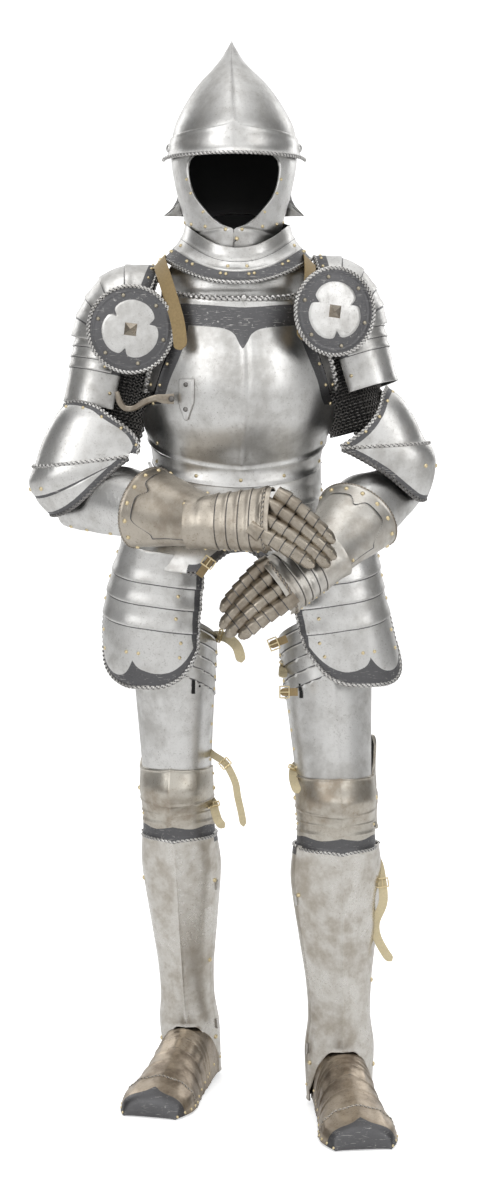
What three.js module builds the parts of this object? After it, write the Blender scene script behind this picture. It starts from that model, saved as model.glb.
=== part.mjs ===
import * as THREE from 'three';

// A full suit of plate armour, worn and hollow: every plate is a thin wall.
// Millimetres. +Z up, -Y in front of the wearer, +X towards the wearer's left hand.
// Heights in the tables run from the ground; the whole suit is shifted at the end,
// so that the origin lies at the middle of the waist, where the wearer carries it.

const WAIST_HEIGHT = 1085;
const PLATE_WALL = 1.6;
const MAIL_WALL = 2.4;
const SEAM = 0.5;
const RIGHT = -1;
const LEFT = 1;

const UP = new THREE.Vector3(0, 0, 1);
const DEGREE = Math.PI / 180;

const FINISHES = {
  bright_steel: { color: 0xc9cacb, roughness: 0.32, metalness: 1 },
  dark_steel: { color: 0x4d4a48, roughness: 0.45, metalness: 1 },
  aged_steel: { color: 0x8d867e, roughness: 0.4, metalness: 1 },
  mail: { color: 0x3b3a39, roughness: 0.6, metalness: 1 },
};

// ---------------------------------------------------------------- tables

/** Rows of numbers under named columns; a row's first column is its station. */
function table(columns, ...rows) {
  const names = columns.split(' ');
  return rows.map((row) => Object.fromEntries(names.map((name, i) => [name, row[i]])));
}

/** A column of a table at a station, on a smooth curve through the rows. */
function smooth(rows, name, station) {
  const last = rows.length - 1;
  const s = THREE.MathUtils.clamp(station, rows[0].s, rows[last].s);
  let i = 0;
  while (i < last - 1 && s > rows[i + 1].s) i += 1;
  const slope = (k) => {
    const before = rows[Math.max(k - 1, 0)];
    const after = rows[Math.min(k + 1, last)];
    return (after[name] - before[name]) / (after.s - before.s);
  };
  const span = rows[i + 1].s - rows[i].s;
  const t = (s - rows[i].s) / span;
  const rise = t * t * (3 - 2 * t);
  const leave = t * (1 - t) * (1 - t) * span;
  const arrive = t * t * (t - 1) * span;
  const ends = rows[i][name] + (rows[i + 1][name] - rows[i][name]) * rise;
  return ends + slope(i) * leave + slope(i + 1) * arrive;
}

// ---------------------------------------------------------------- surfaces

/**
 * A tube along a straight axis. A row gives the section at a station: `side` and `rise`
 * shift its centre, `wide` is the half width, `front` and `back` are its reach, `square`
 * squares it off (2 is an ellipse) and `keel` draws the front out to a ridge.
 * Angle 0 faces `facing`; angles grow towards axis x facing.
 */
function tube(start, axis, facing, rows) {
  const along = axis.clone().normalize();
  const front = facing.clone().addScaledVector(along, -facing.dot(along)).normalize();
  const across = new THREE.Vector3().crossVectors(along, front);
  return (angle, s) => {
    const c = Math.cos(angle * DEGREE);
    const d = Math.sin(angle * DEGREE);
    const power = 2 / smooth(rows, 'square', s);
    const reach = smooth(rows, c > 0 ? 'front' : 'back', s);
    const ridge = Math.max(0, 1 - Math.abs(Math.sin(angle * DEGREE / 2)) * 3) ** 2;
    const keel = smooth(rows, 'keel', s) * ridge;
    const forward = Math.sign(c) * reach * Math.abs(c) ** power + (c > 0 ? keel : 0);
    const sideways = Math.sign(d) * smooth(rows, 'wide', s) * Math.abs(d) ** power;
    return start.clone().addScaledVector(along, s)
      .addScaledVector(front, smooth(rows, 'rise', s) + forward)
      .addScaledVector(across, smooth(rows, 'side', s) + sideways);
  };
}

/**
 * A dome whose lames fan out round a line through `pivot`. A station is the turn in degrees
 * from straight up towards `out`; `reach` is the distance from the line and `half` the half
 * width along it. `swing` turns the whole dome about the upright, so that it looks backward.
 */
function fan(pivot, hand, swing, rows) {
  const out = new THREE.Vector3(hand * Math.cos(swing * DEGREE), Math.sin(swing * DEGREE), 0);
  const line = new THREE.Vector3(-hand * Math.sin(swing * DEGREE), Math.cos(swing * DEGREE), 0);
  return (angle, turn) => {
    const reach = smooth(rows, 'reach', turn) * Math.abs(Math.cos(angle * DEGREE)) ** 0.8;
    const width = smooth(rows, 'half', turn) * Math.sin(angle * DEGREE);
    return pivot.clone().addScaledVector(out, reach * Math.sin(turn * DEGREE))
      .addScaledVector(UP, reach * Math.cos(turn * DEGREE)).addScaledVector(line, width);
  };
}

/** The same surface, let down by `drop(angle)` and pushed out by `flare(s)`. */
function eased(surface, drop, flare = () => 0) {
  return (angle, s) => {
    const p = surface(angle, s);
    const out = new THREE.Vector3(p.x, p.y, 0).normalize();
    return p.addScaledVector(out, flare(s)).addScaledVector(UP, -drop(angle));
  };
}

// ---------------------------------------------------------------- plates

const suit = new THREE.Group();

/** Puts one closed mesh into the suit. */
function add(name, finish, geometry, parent = suit) {
  const mesh = new THREE.Mesh(geometry, new THREE.MeshStandardMaterial(FINISHES[finish]));
  mesh.name = name;
  parent.add(mesh);
  return mesh;
}

/** Joins points and faces into a geometry, drops faces that have no area, and turns them all outward. */
function closedGeometry(points, faces) {
  const keys = new Map();
  const merged = points.map((p) => {
    const key = [p.x, p.y, p.z].map((v) => v.toFixed(3)).join();
    keys.set(key, keys.get(key) ?? keys.size);
    return keys.get(key);
  });
  const places = [];
  points.forEach((p, i) => {
    places[merged[i]] = p;
  });
  const renamed = faces.map((f) => f.map((i) => merged[i]));
  const kept = renamed.filter(([a, b, c]) => a !== b && b !== c && c !== a);
  const volume = kept.reduce((sum, [a, b, c]) => {
    return sum + places[a].dot(new THREE.Vector3().crossVectors(places[b], places[c]));
  }, 0);
  const index = kept.flatMap(([a, b, c]) => (volume > 0 ? [a, b, c] : [a, c, b]));
  const geometry = new THREE.BufferGeometry();
  const numbers = places.flatMap((p) => p.toArray());
  geometry.setAttribute('position', new THREE.Float32BufferAttribute(numbers, 3));
  geometry.setIndex(index);
  return geometry;
}

/**
 * A thin plate cut from a surface. `sides(v)` gives its first and last angle at a height v
 * from 0 to 1, `ends(angle)` its first and last station, and it grows inward by `wall`.
 */
function plate(surface, { sides, ends, across, along, ring = false, wall = PLATE_WALL, proud = 0 }) {
  const columns = ring ? across : across + 1;
  const outer = [];
  for (let j = 0; j <= along; j += 1) {
    const v = j / along;
    const [first, last] = sides(v);
    for (let i = 0; i < columns; i += 1) {
      const angle = first + (last - first) * i / across;
      const [low, high] = ends(angle);
      outer.push(surface(angle, low + (high - low) * v));
    }
  }
  const column = (i) => (ring ? (i + columns) % columns : THREE.MathUtils.clamp(i, 0, across));
  const at = (i, j) => outer[j * columns + column(i)];
  const normals = [];
  for (let j = 0; j <= along; j += 1) {
    for (let i = 0; i < columns; i += 1) {
      const row = at(i + 1, j).distanceTo(at(i - 1, j)) > 0.01 ? j : j - 1;
      const du = at(i + 1, row).clone().sub(at(i - 1, row));
      const dv = at(i, Math.min(j + 1, along)).clone().sub(at(i, Math.max(j - 1, 0)));
      normals.push(new THREE.Vector3().crossVectors(du, dv).normalize());
    }
  }
  const top = outer.slice(along * columns);
  if (top.every((p) => p.distanceTo(top[0]) < 0.01)) {
    const mean = new THREE.Vector3();
    normals.slice(along * columns).forEach((n) => mean.add(n));
    mean.normalize();
    normals.fill(mean, along * columns);
  }
  const face = outer.map((p, i) => p.clone().addScaledVector(normals[i], proud));
  const back = outer.map((p, i) => p.clone().addScaledVector(normals[i], proud - wall));
  const points = [...face, ...back];
  const behind = outer.length;
  const faces = [];
  const quad = (a, b, c, d) => faces.push([a, b, c], [a, c, d]);
  const spot = (i, j) => j * columns + (ring ? i % columns : i);
  for (let j = 0; j < along; j += 1) {
    for (let i = 0; i < across; i += 1) {
      const [a, b, c, d] = [spot(i, j), spot(i + 1, j), spot(i + 1, j + 1), spot(i, j + 1)];
      quad(a, b, c, d);
      quad(behind + d, behind + c, behind + b, behind + a);
    }
  }
  for (let i = 0; i < across; i += 1) {
    quad(spot(i + 1, 0), spot(i, 0), behind + spot(i, 0), behind + spot(i + 1, 0));
    quad(spot(i, along), spot(i + 1, along), behind + spot(i + 1, along), behind + spot(i, along));
  }
  for (let j = 0; j < along && !ring; j += 1) {
    quad(spot(0, j), spot(0, j + 1), behind + spot(0, j + 1), behind + spot(0, j));
    quad(spot(across, j + 1), spot(across, j), behind + spot(across, j), behind + spot(across, j + 1));
  }
  return closedGeometry(points, faces);
}

/** Cuts one run of a tube or fan into butted lames, `cuts` being the stations where they meet. */
function lames(names, finish, surface, cuts, shape) {
  names.forEach((name, i) => {
    const ends = () => [cuts[i] + (i > 0 ? SEAM : 0), cuts[i + 1]];
    add(name, finish, plate(surface, { ...shape, ends }));
  });
}

const between = (low, high, t) => low + (high - low) * THREE.MathUtils.clamp(t, 0, 1);
const even = (first, last) => () => [first, last];
const side = (hand) => (hand === RIGHT ? 'right' : 'left');

// ---------------------------------------------------------------- helmet and collar

const HEAD_FACING = new THREE.Vector3(0, -1, 0);
const HEAD = tube(new THREE.Vector3(-3, 8, 0), UP, HEAD_FACING, table(
  's side rise wide front back square keel',
  [1440, 0, 0, 84, 96, 92, 2.0, 4],
  [1470, 0, 0, 78, 99, 90, 2.0, 8],
  [1503, 0, 0, 84, 106, 96, 2.0, 10],
  [1555, 0, 0, 98, 112, 112, 2.0, 8],
  [1608, 0, 0, 105, 118, 124, 2.0, 5],
  [1653, 0, 0, 100, 114, 124, 2.0, 5],
  [1688, -1, 0, 83, 97, 104, 1.95, 5],
  [1726, -2, 0, 57, 70, 74, 1.9, 5],
  [1764, -4, 0, 23, 34, 36, 1.8, 4],
  [1790, -4, 0, 6, 9, 9, 1.9, 1],
  [1800, -4, 0, 0, 0, 0, 2, 0],
));

const BROW_HEIGHT = 1632;
const NAPE_HEIGHT = 1515;
/** Angle from the front, 0 to 180, whichever way it is counted. */
const fromFront = (angle) => Math.abs(((angle + 540) % 360) - 180);
/** The skull ends at the brow in front and runs down to a flared nape behind. */
const skullFoot = (angle) => between(BROW_HEIGHT, NAPE_HEIGHT, (fromFront(angle) - 92) / 12);
const napeFlare = (s) => 25 * (Math.max(0, NAPE_HEIGHT + 24 - s) / 24) ** 1.4;
add('helmet_skull', 'bright_steel', plate(eased(HEAD, () => 0, napeFlare), {
  sides: even(0, 360), ends: (angle) => [skullFoot(angle), 1800], across: 24, along: 8, ring: true,
}));
const BRIM = tube(new THREE.Vector3(-3, 8, 0), UP, HEAD_FACING, table(
  's side rise wide front back square keel',
  [1602, 0, 0, 118, 132, 130, 2.0, 4],
  [1610, 0, 0, 113, 126, 128, 2.0, 4],
  [1630, 0, 0, 109, 122, 127, 2.0, 5],
  [1650, 0, 0, 105.5, 119.5, 126, 2.0, 6],
));
add('helmet_brow', 'bright_steel', plate(BRIM, {
  sides: even(-88, 88), ends: even(1603, 1648), across: 14, along: 2,
}));
/** How far the face opening reaches round from the middle, at each height. */
const FACE_OPENING = table(
  's angle',
  [1486, 1],
  [1492, 18],
  [1508, 32],
  [1530, 42],
  [1552, 46.5],
  [1600, 49],
);
/** Lower edge of a cheekpiece, from the chin up to the back of the jaw. */
const jawEdge = (angle) => between(1443, 1470, Math.abs(angle) / 88);
for (const hand of [RIGHT, LEFT]) {
  const ends = (angle) => [jawEdge(angle), 1600];
  const sides = (v) => {
    const edge = smooth(FACE_OPENING, 'angle', between(1450, 1600, v));
    return hand === RIGHT ? [-91, -edge] : [edge, 91];
  };
  add(`cheek_${side(hand)}`, 'bright_steel', plate(HEAD, { sides, ends, across: 8, along: 10, proud: -0.5 }));
}

const COLLAR_DROP = 45;
const NAPE_DROP = 12;
/** The collar dips to a point in front and a little behind. */
function collarDrop(angle) {
  const deepest = fromFront(angle) < 90 ? COLLAR_DROP : NAPE_DROP;
  return deepest * (1 - Math.abs(Math.sin(angle * DEGREE)) ** 1.2);
}
const NECK = eased(tube(new THREE.Vector3(3, 4, 0), UP, HEAD_FACING, table(
  's side rise wide front back square keel',
  [1440, 0, 0, 123, 138, 120, 2.1, 4],
  [1448, 0, 0, 115, 130, 114, 2.1, 4],
  [1460, 0, 0, 105, 122, 108, 2.0, 4],
  [1475, 0, 0, 97, 115, 104, 2.0, 2],
  [1500, 0, 0, 92, 112, 102, 2.0, 1],
)), collarDrop);
const COLLAR_CUTS = [
  { name: 'gorget_rim', finish: 'dark_steel', low: 1441, high: 1457 },
  { name: 'collar_lower', finish: 'bright_steel', low: 1457.6, high: 1474 },
  { name: 'collar_upper', finish: 'bright_steel', low: 1474.6, high: 1494 },
];
for (const { name, finish, low, high } of COLLAR_CUTS) {
  add(name, finish, plate(NECK, {
    sides: even(0, 360), ends: even(low, high), across: 24, along: 1, ring: true,
  }));
}
const GORGET = tube(new THREE.Vector3(3, 4, 0), UP, HEAD_FACING, table(
  's side rise wide front back square keel',
  [1345, 0, 0, 118, 106, 94, 2.2, 3],
  [1376, 0, 0, 112, 107, 95, 2.2, 3],
  [1405, 0, 0, 105, 103, 94, 2.1, 3],
  [1440, 0, 0, 96, 92, 90, 2.1, 3],
));
add('gorget_plate', 'bright_steel', plate(GORGET, {
  sides: even(0, 360), ends: (angle) => [1352, 1438 - collarDrop(angle)], across: 20, along: 2, ring: true,
}));

// ---------------------------------------------------------------- body

const CHEST_FACING = new THREE.Vector3(0.07, -1, 0);
const CHEST = tube(new THREE.Vector3(4, 0, 0), UP, CHEST_FACING, table(
  's side rise wide front back square keel',
  [1050, -4, 0, 150, 124, 112, 2.1, 4],
  [1072, -4, 0, 143, 118, 102, 2.1, 5],
  [1092, -3, 0, 141, 117, 98, 2.1, 6],
  [1130, -2, 0, 147, 134, 104, 2.2, 8],
  [1169, 0, 0, 161, 152, 112, 2.2, 9],
  [1220, 1, 0, 164, 162, 120, 2.2, 9],
  [1270, 1, 0, 160, 160, 124, 2.2, 8],
  [1320, 0, 0, 152, 150, 120, 2.2, 6],
  [1352, 0, 0, 146, 138, 114, 2.2, 4],
  [1385, 0, 0, 138, 126, 106, 2.2, 3],
));
/** How far round from the middle a breast or back panel runs, at each height. */
const FRONT_REACH = table(
  's angle',
  [1080, 89.6],
  [1165, 89.6],
  [1196, 74],
  [1215, 62],
  [1250, 55],
  [1320, 44],
  [1380, 47],
);
const REAR_REACH = table(
  's angle',
  [1080, 89.6],
  [1165, 89.6],
  [1200, 72],
  [1250, 62],
  [1320, 58],
  [1380, 52],
);
const SIDE_SEAM = 89.3;
const NECK_EDGE = 1376;
const waistEdge = (angle) => between(1090, 1138, (Math.abs(angle) / 90) ** 1.6);
const neckEdge = (angle) => NECK_EDGE - 10 * Math.cos(2 * angle * DEGREE);
function bodyPanel(reach) {
  return (v) => {
    const edge = Math.min(SIDE_SEAM, smooth(reach, 'angle', between(waistEdge(90), NECK_EDGE, v)));
    return [-edge, edge];
  };
}
add('breastplate', 'bright_steel', plate(CHEST, {
  sides: bodyPanel(FRONT_REACH), ends: (angle) => [waistEdge(angle), neckEdge(angle)], across: 16, along: 10,
}));
const rear = (surface) => (angle, s) => surface(angle + 180, s);
add('backplate', 'bright_steel', plate(rear(CHEST), {
  sides: bodyPanel(REAR_REACH), ends: (angle) => [waistEdge(angle), 1384], across: 14, along: 8,
}));
/** Narrow plates that slide at the front of each armhole. */
const GUSSET = { low: 1222, high: 1310, gap: 2.4, width: 9 };
for (const hand of [RIGHT, LEFT]) {
  const sides = (v) => {
    const inner = smooth(FRONT_REACH, 'angle', between(GUSSET.low, GUSSET.high, v)) + GUSSET.gap;
    const outer = inner + GUSSET.width;
    return hand === RIGHT ? [-outer, -inner] : [inner, outer];
  };
  add(`gusset_${side(hand)}`, 'dark_steel', plate(CHEST, {
    sides, ends: even(GUSSET.low, GUSSET.high), across: 2, along: 5, proud: 1,
  }));
}
/** The waist line rises towards the hips. */
const hipLift = (angle) => between(0, 40, (Math.abs(angle) / 90) ** 1.6);
add('waist_plate', 'bright_steel', plate(CHEST, {
  sides: even(-89.6, 89.6),
  ends: (angle) => [1062 + hipLift(angle), 1089.4 + hipLift(angle)],
  across: 14, along: 2,
}));
const SKIRT = tube(new THREE.Vector3(4, 0, 0), UP, CHEST_FACING, table(
  's side rise wide front back square keel',
  [955, -8, 0, 178, 134, 134, 2.15, 3],
  [1000, -7, 0, 164, 126, 126, 2.15, 3],
  [1035, -6, 0, 152, 121, 117, 2.15, 3],
  [1062, -5, 0, 145, 118, 108, 2.1, 4],
));
/** The lowest hoop is arched over the fork of the legs. */
const forkArch = (angle) => between(38, 0, Math.abs(angle) / 24);
const skirtTop = (angle) => 1061 + 0.9 * hipLift(angle);
const skirtSplit = (angle) => 1025 + 0.6 * hipLift(angle);
add('fauld_upper', 'bright_steel', plate(SKIRT, {
  sides: even(-89, 89), ends: (angle) => [skirtSplit(angle), skirtTop(angle)], across: 14, along: 1,
}));
add('fauld_lower', 'dark_steel', plate(SKIRT, {
  sides: even(-86, 86),
  ends: (angle) => [978 + forkArch(angle), skirtSplit(angle) - SEAM],
  across: 14, along: 1,
}));
add('culet', 'bright_steel', plate(rear(SKIRT), {
  sides: even(-89, 89), ends: (angle) => [985, skirtTop(angle)], across: 12, along: 2,
}));

/** A bar of even width along a bent line in X and Z, given a thickness along Y. */
function bentBar(line, width, thickness) {
  const points = line.map(([x, z]) => new THREE.Vector2(x, z));
  const edge = (hand) => points.map((p, i) => {
    const ahead = points[Math.min(i + 1, points.length - 1)];
    const behind = points[Math.max(i - 1, 0)];
    const run = ahead.clone().sub(behind).normalize();
    return new THREE.Vector2(p.x - hand * run.y * width / 2, p.y + hand * run.x * width / 2);
  });
  const shape = new THREE.Shape([...edge(1), ...edge(-1).reverse()]);
  const geometry = new THREE.ExtrudeGeometry(shape, { depth: thickness, bevelEnabled: false });
  geometry.rotateX(Math.PI / 2);
  geometry.translate(0, thickness / 2, 0);
  return geometry;
}

// The lance rest: a bracket on the right breast and an arm that folds up about its pin.
const REST_PIN = new THREE.Vector3(-104, -144, 1205);
const BRACKET_THICKNESS = 4;
const ARM_WIDTH = 9;
const ARM_THICKNESS = 12;
add('lance_rest_bracket', 'dark_steel', plate(CHEST, {
  sides: even(-37, -29), ends: even(1177, 1233), across: 2, along: 3,
  wall: BRACKET_THICKNESS, proud: BRACKET_THICKNESS + SEAM,
}));
const arm = add('lance_rest_arm', 'dark_steel', bentBar([
  [0, 0], [-14, 0], [-28, 2], [-46, -5], [-64, -16], [-78, -15], [-87, -3], [-92, 15],
], ARM_WIDTH, ARM_THICKNESS));
arm.position.copy(REST_PIN);

// ---------------------------------------------------------------- thigh plates

/** Each tasset hangs in front of a thigh, in three lames that meet edge to edge. */
const TASSET_COLUMNS = 's side rise wide front back square keel';
const TASSETS = [
  {
    hand: RIGHT, sides: even(-78, 62),
    start: new THREE.Vector3(-130, -38, 0), facing: new THREE.Vector3(-0.3, -1, 0),
    rows: table(TASSET_COLUMNS,
      [729, 12, 0, 66, 94, 60, 2.4, 0],
      [744, 8, 0, 82, 95, 60, 2.4, 0],
      [770, 4, 0, 90, 96, 60, 2.4, 0],
      [830, 2, 0, 92, 96, 60, 2.4, 0],
      [900, 6, 0, 88, 96, 60, 2.4, 0],
      [968, 12, 0, 84, 98, 60, 2.4, 0]),
    cuts: [731, 832, 870, 944],
  },
  {
    hand: LEFT, sides: even(-62, 78),
    start: new THREE.Vector3(162, -62, 0), facing: new THREE.Vector3(0.26, -1, 0),
    rows: table(TASSET_COLUMNS,
      [729, 28, 0, 68, 90, 60, 2.4, 0],
      [744, 28, 0, 82, 91, 60, 2.4, 0],
      [770, 24, 0, 86, 92, 60, 2.4, 0],
      [830, 8, 0, 88, 92, 60, 2.4, 0],
      [900, -8, 0, 88, 90, 60, 2.4, 0],
      [968, -16, 0, 84, 84, 60, 2.4, 0]),
    cuts: [736, 832, 874, 930],
  },
];
for (const { hand, start, facing, sides, rows, cuts } of TASSETS) {
  const names = [3, 2, 1].map((number) => `${side(hand)}_tasset_${number}`);
  lames(names, 'bright_steel', tube(start, UP, facing, rows), cuts, { sides, across: 9, along: 2 });
}

// ---------------------------------------------------------------- arms

/** The top of each shoulder is a dome of lames; below it more lames wrap the upper arm. */
const SHOULDERS = [
  {
    hand: RIGHT, pivot: new THREE.Vector3(-176, 6, 1290),
    edge: 61,
    dome: table('s reach half', [-10, 140, 70], [16, 134, 84], [31, 122, 92], [50, 108, 92], [74, 99, 86]),
  },
  {
    hand: LEFT, pivot: new THREE.Vector3(164, 6, 1314),
    edge: 56,
    dome: table('s reach half', [-10, 131, 70], [16, 124, 84], [31, 113, 92], [50, 99, 92], [74, 88, 86]),
  },
];
for (const { hand, pivot, dome, edge } of SHOULDERS) {
  add(`${side(hand)}_pauldron_1`, 'bright_steel', plate(fan(pivot, hand, 0, dome), {
    sides: even(-78, 78), ends: even(-8, edge), across: 12, along: 5,
  }));
}

const ARM_COLUMNS = 's side rise wide front back square keel';
const ARMS = [
  {
    hand: RIGHT, shoulder: new THREE.Vector3(-206, 6, 1352), elbow: new THREE.Vector3(-264, -18, 1046),
    wrist: new THREE.Vector3(-44, -226, 1008), knuckles: new THREE.Vector3(58, -254, 1014),
    tips: new THREE.Vector3(146, -270, 958), roll: new THREE.Vector3(0.1, -0.9, 0.4),
    besagew: new THREE.Vector3(-171, -120, 1318),
    point: new THREE.Vector3(-178, -46, 1112), swing: 24,
    couter: table(
      's reach half',
      [-45, 110, 76],
      [0, 112, 76],
      [30, 128, 74],
      [52, 144, 73],
      [75, 166, 74],
      [104, 190, 76],
      [118, 192, 74],
      [130, 180, 70],
    ),
    couterCuts: [55, 129],
  },
  {
    hand: LEFT, shoulder: new THREE.Vector3(186, 6, 1380), elbow: new THREE.Vector3(262, -18, 1070),
    wrist: new THREE.Vector3(136, -212, 944), knuckles: new THREE.Vector3(62, -244, 904),
    tips: new THREE.Vector3(-12, -254, 846), roll: new THREE.Vector3(-0.1, -0.9, 0.4),
    besagew: new THREE.Vector3(161, -146, 1346),
    point: new THREE.Vector3(176, -46, 1124), swing: 24,
    couter: table(
      's reach half',
      [-55, 118, 76],
      [-10, 122, 76],
      [20, 134, 74],
      [36, 144, 73],
      [60, 160, 74],
      [90, 172, 76],
      [105, 182, 74],
      [120, 180, 70],
    ),
    couterCuts: [44, 118],
  },
];
const MAIL_ROWS = table(
  ARM_COLUMNS,
  [0, 0, -4, 44, 44, 46, 2, 0],
  [140, 0, -10, 35, 36, 35, 2, 0],
  [250, 0, -12, 32, 34, 34, 2, 0],
);
const SLEEVE_ROWS = table(
  ARM_COLUMNS,
  [30, 0, 0, 74, 62, 60, 2, 0],
  [80, 0, 0, 64, 59, 58, 2, 0],
  [120, 0, 0, 58, 57, 56, 2, 0],
  [175, 0, 0, 56, 56, 54, 2, 0],
);
/** The forearm's tube hangs a little low at the elbow, under the elbow plate. */
const forearmRows = (hand) => table(
  ARM_COLUMNS,
  [-20, -16 * hand, 0, 42, 26, 40, 2, 0],
  [20, -14 * hand, 0, 46, 31, 40, 2, 0],
  [90, 0, 0, 61, 58, 38, 2, 0],
  [180, 0, 0, 50, 46, 38, 2, 0],
);
const CUFF_ROWS = table(
  ARM_COLUMNS,
  [-140, 0, 0, 72, 66, 45, 2, 0],
  [-100, 0, 0, 63, 58, 42, 2, 0],
  [-50, 0, 0, 50, 46, 38, 2, 0],
  [-4, 0, 0, 43, 38, 32, 2, 0],
);
const HAND_ROWS = table(
  ARM_COLUMNS,
  [-3, 0, 0, 43, 38, 30, 2.2, 0],
  [40, 0, 0, 47, 34, 26, 2.3, 0],
  [80, 0, 0, 51, 32, 24, 2.4, 0],
  [110, 0, 2, 52, 31, 22, 2.4, 0],
);
const FINGER_ROWS = table(
  ARM_COLUMNS,
  [0, 0, 2, 52, 26, 10, 2.6, 0],
  [40, 0, 4, 48, 24, 10, 2.6, 0],
  [80, 0, -2, 38, 20, 10, 2.6, 0],
  [110, 0, -12, 27, 14, 10, 2.6, 0],
);
/** A besagew's radius and depth, round its face and back along its inside. */
const DISH_PROFILE = [
  [0, -8],
  [55, -5],
  [66, -2],
  [71, -4],
  [74, -2],
  [71, -1],
  [66, 0],
  [55, -3],
  [0, -6],
];
const DISH_SIDES = 24;
const COUTER_TOP = table('s turn', [0, 0], [40, -22], [60, -40], [72, -62], [86, -96]);
/** The couter's upper edge reaches round in front towards the crook of the arm. */
const couterTop = (limb, angle) => limb.couterCuts[0] + smooth(COUTER_TOP, 'turn', Math.max(0, -angle));

/** A shallow round dish about the Y axis, turned from its profile of radius and depth. */
function dish(profile) {
  const outline = profile.map(([radius, depth]) => new THREE.Vector2(radius, depth));
  const round = new THREE.LatheGeometry(outline, DISH_SIDES);
  const place = round.attributes.position;
  const point = (_, i) => new THREE.Vector3().fromBufferAttribute(place, i);
  const points = Array.from({ length: place.count }, point);
  const index = Array.from(round.index.array);
  const faces = Array.from({ length: index.length / 3 }, (_, i) => index.slice(3 * i, 3 * i + 3));
  return closedGeometry(points, faces);
}

for (const limb of ARMS) {
  const name = side(limb.hand);
  const outward = new THREE.Vector3(limb.hand, 0, 0);
  const upperArm = limb.elbow.clone().sub(limb.shoulder);
  const forearm = limb.wrist.clone().sub(limb.elbow);
  const hand = limb.knuckles.clone().sub(limb.wrist);
  const fingers = limb.tips.clone().sub(limb.knuckles);
  add(`${name}_mail_sleeve`, 'mail', plate(tube(limb.shoulder, upperArm, outward, MAIL_ROWS), {
    sides: even(0, 360), ends: even(14, 228), across: 12, along: 2, ring: true, wall: MAIL_WALL,
  }));
  const sleeve = tube(limb.shoulder, upperArm, outward, SLEEVE_ROWS);
  const lower = [`${name}_pauldron_2`, `${name}_pauldron_3`, `${name}_upper_cannon`];
  lames(lower, 'bright_steel', sleeve, [40, 72, 108, 150], { sides: even(-96, 96), across: 10, along: 1 });
  add(`${name}_couter`, 'bright_steel', plate(fan(limb.point, limb.hand, limb.swing, limb.couter), {
    sides: even(-86, 80), ends: (angle) => [couterTop(limb, angle), limb.couterCuts[1]], across: 14, along: 6,
  }));
  add(`${name}_vambrace`, 'bright_steel', plate(tube(limb.elbow, forearm, limb.roll, forearmRows(limb.hand)), {
    sides: even(0, 360), ends: even(8, 150), across: 14, along: 3, ring: true,
  }));
  add(`${name}_gauntlet_cuff`, 'aged_steel', plate(tube(limb.wrist, forearm, limb.roll, CUFF_ROWS), {
    sides: even(0, 360), ends: even(-132, -8), across: 14, along: 3, ring: true,
  }));
  add(`${name}_hand_lames`, 'aged_steel', plate(tube(limb.wrist, hand, limb.roll, HAND_ROWS), {
    sides: even(-100, 100), ends: even(10, hand.length() - 4), across: 9, along: 3,
  }));
  add(`${name}_finger_plates`, 'aged_steel', plate(tube(limb.knuckles, fingers, limb.roll, FINGER_ROWS), {
    sides: even(-95, 95), ends: even(20, 108), across: 9, along: 3,
  }));
  // The round plate that hangs before the armpit.
  const disc = add(`${name}_besagew`, 'bright_steel', dish(DISH_PROFILE));
  disc.position.copy(limb.besagew);
}

// ---------------------------------------------------------------- legs

const LEG_COLUMNS = 's side rise wide front back square keel';
const LEGS = [
  {
    hand: RIGHT, facing: new THREE.Vector3(-0.12, -1, 0), toe: new THREE.Vector3(-0.28, -1, 0),
    heel: new THREE.Vector3(-68, 170, 0),
    hip: { x: -108, y: 4 }, knee: { x: -102, y: 40 }, ankle: { x: -84, y: 116 }, bulk: 1,
  },
  {
    hand: LEFT, facing: new THREE.Vector3(0.1, -1, 0), toe: new THREE.Vector3(0.12, -1, 0),
    heel: new THREE.Vector3(172, 4, 0),
    hip: { x: 146, y: -24 }, knee: { x: 167, y: -64 }, ankle: { x: 176, y: -46 }, bulk: 1.07,
  },
];
const KNEE = { top: 576, middle: 540, bottom: 503, rim: 455 };
const HIP_HEIGHT = 880;
const ANKLE_HEIGHT = 120;
const WING = { flare: 22, rise: 64, fall: 24, from: 84, to: 124 };

/** A leg's tube: sections at heights, its centre running from hip to knee to ankle. */
function legTube(leg, rows) {
  const centred = rows.map((row) => {
    const upper = row.s > KNEE.middle;
    const [a, b] = upper ? [leg.knee, leg.hip] : [leg.ankle, leg.knee];
    const [low, high] = upper ? [KNEE.middle, HIP_HEIGHT] : [ANKLE_HEIGHT, KNEE.middle];
    const t = (row.s - low) / (high - low);
    const x = a.x + (b.x - a.x) * t;
    const y = a.y + (b.y - a.y) * t;
    const front = leg.facing.clone().normalize();
    const across = new THREE.Vector3().crossVectors(UP, front);
    const centre = new THREE.Vector3(x, y, 0);
    const wide = row.wide * leg.bulk;
    return { ...row, wide, side: row.side + centre.dot(across), rise: row.rise + centre.dot(front) };
  });
  return tube(new THREE.Vector3(), UP, leg.facing, centred);
}
const THIGH_ROWS = table(
  LEG_COLUMNS,
  [540, 0, 0, 59, 66, 60, 2.1, 2],
  [580, 0, 0, 59, 66, 62, 2.1, 4],
  [680, 0, 0, 65, 70, 66, 2.1, 5],
  [740, 0, 0, 69, 74, 70, 2.1, 5],
  [860, 0, 0, 77, 80, 76, 2.1, 4],
);
const KNEE_ROWS = table(
  LEG_COLUMNS,
  [445, 0, 0, 62, 68, 60, 2, 2],
  [480, 0, 0, 61, 68, 60, 2, 2],
  [503, 0, 0, 60, 70, 58, 2, 3],
  [520, 0, 0, 61, 76, 58, 2, 5],
  [540, 0, 2, 62, 79, 58, 2, 6],
  [566, 0, 0, 61, 72, 60, 2, 4],
  [577, 0, 0, 61, 68, 60, 2, 4],
);
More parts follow.
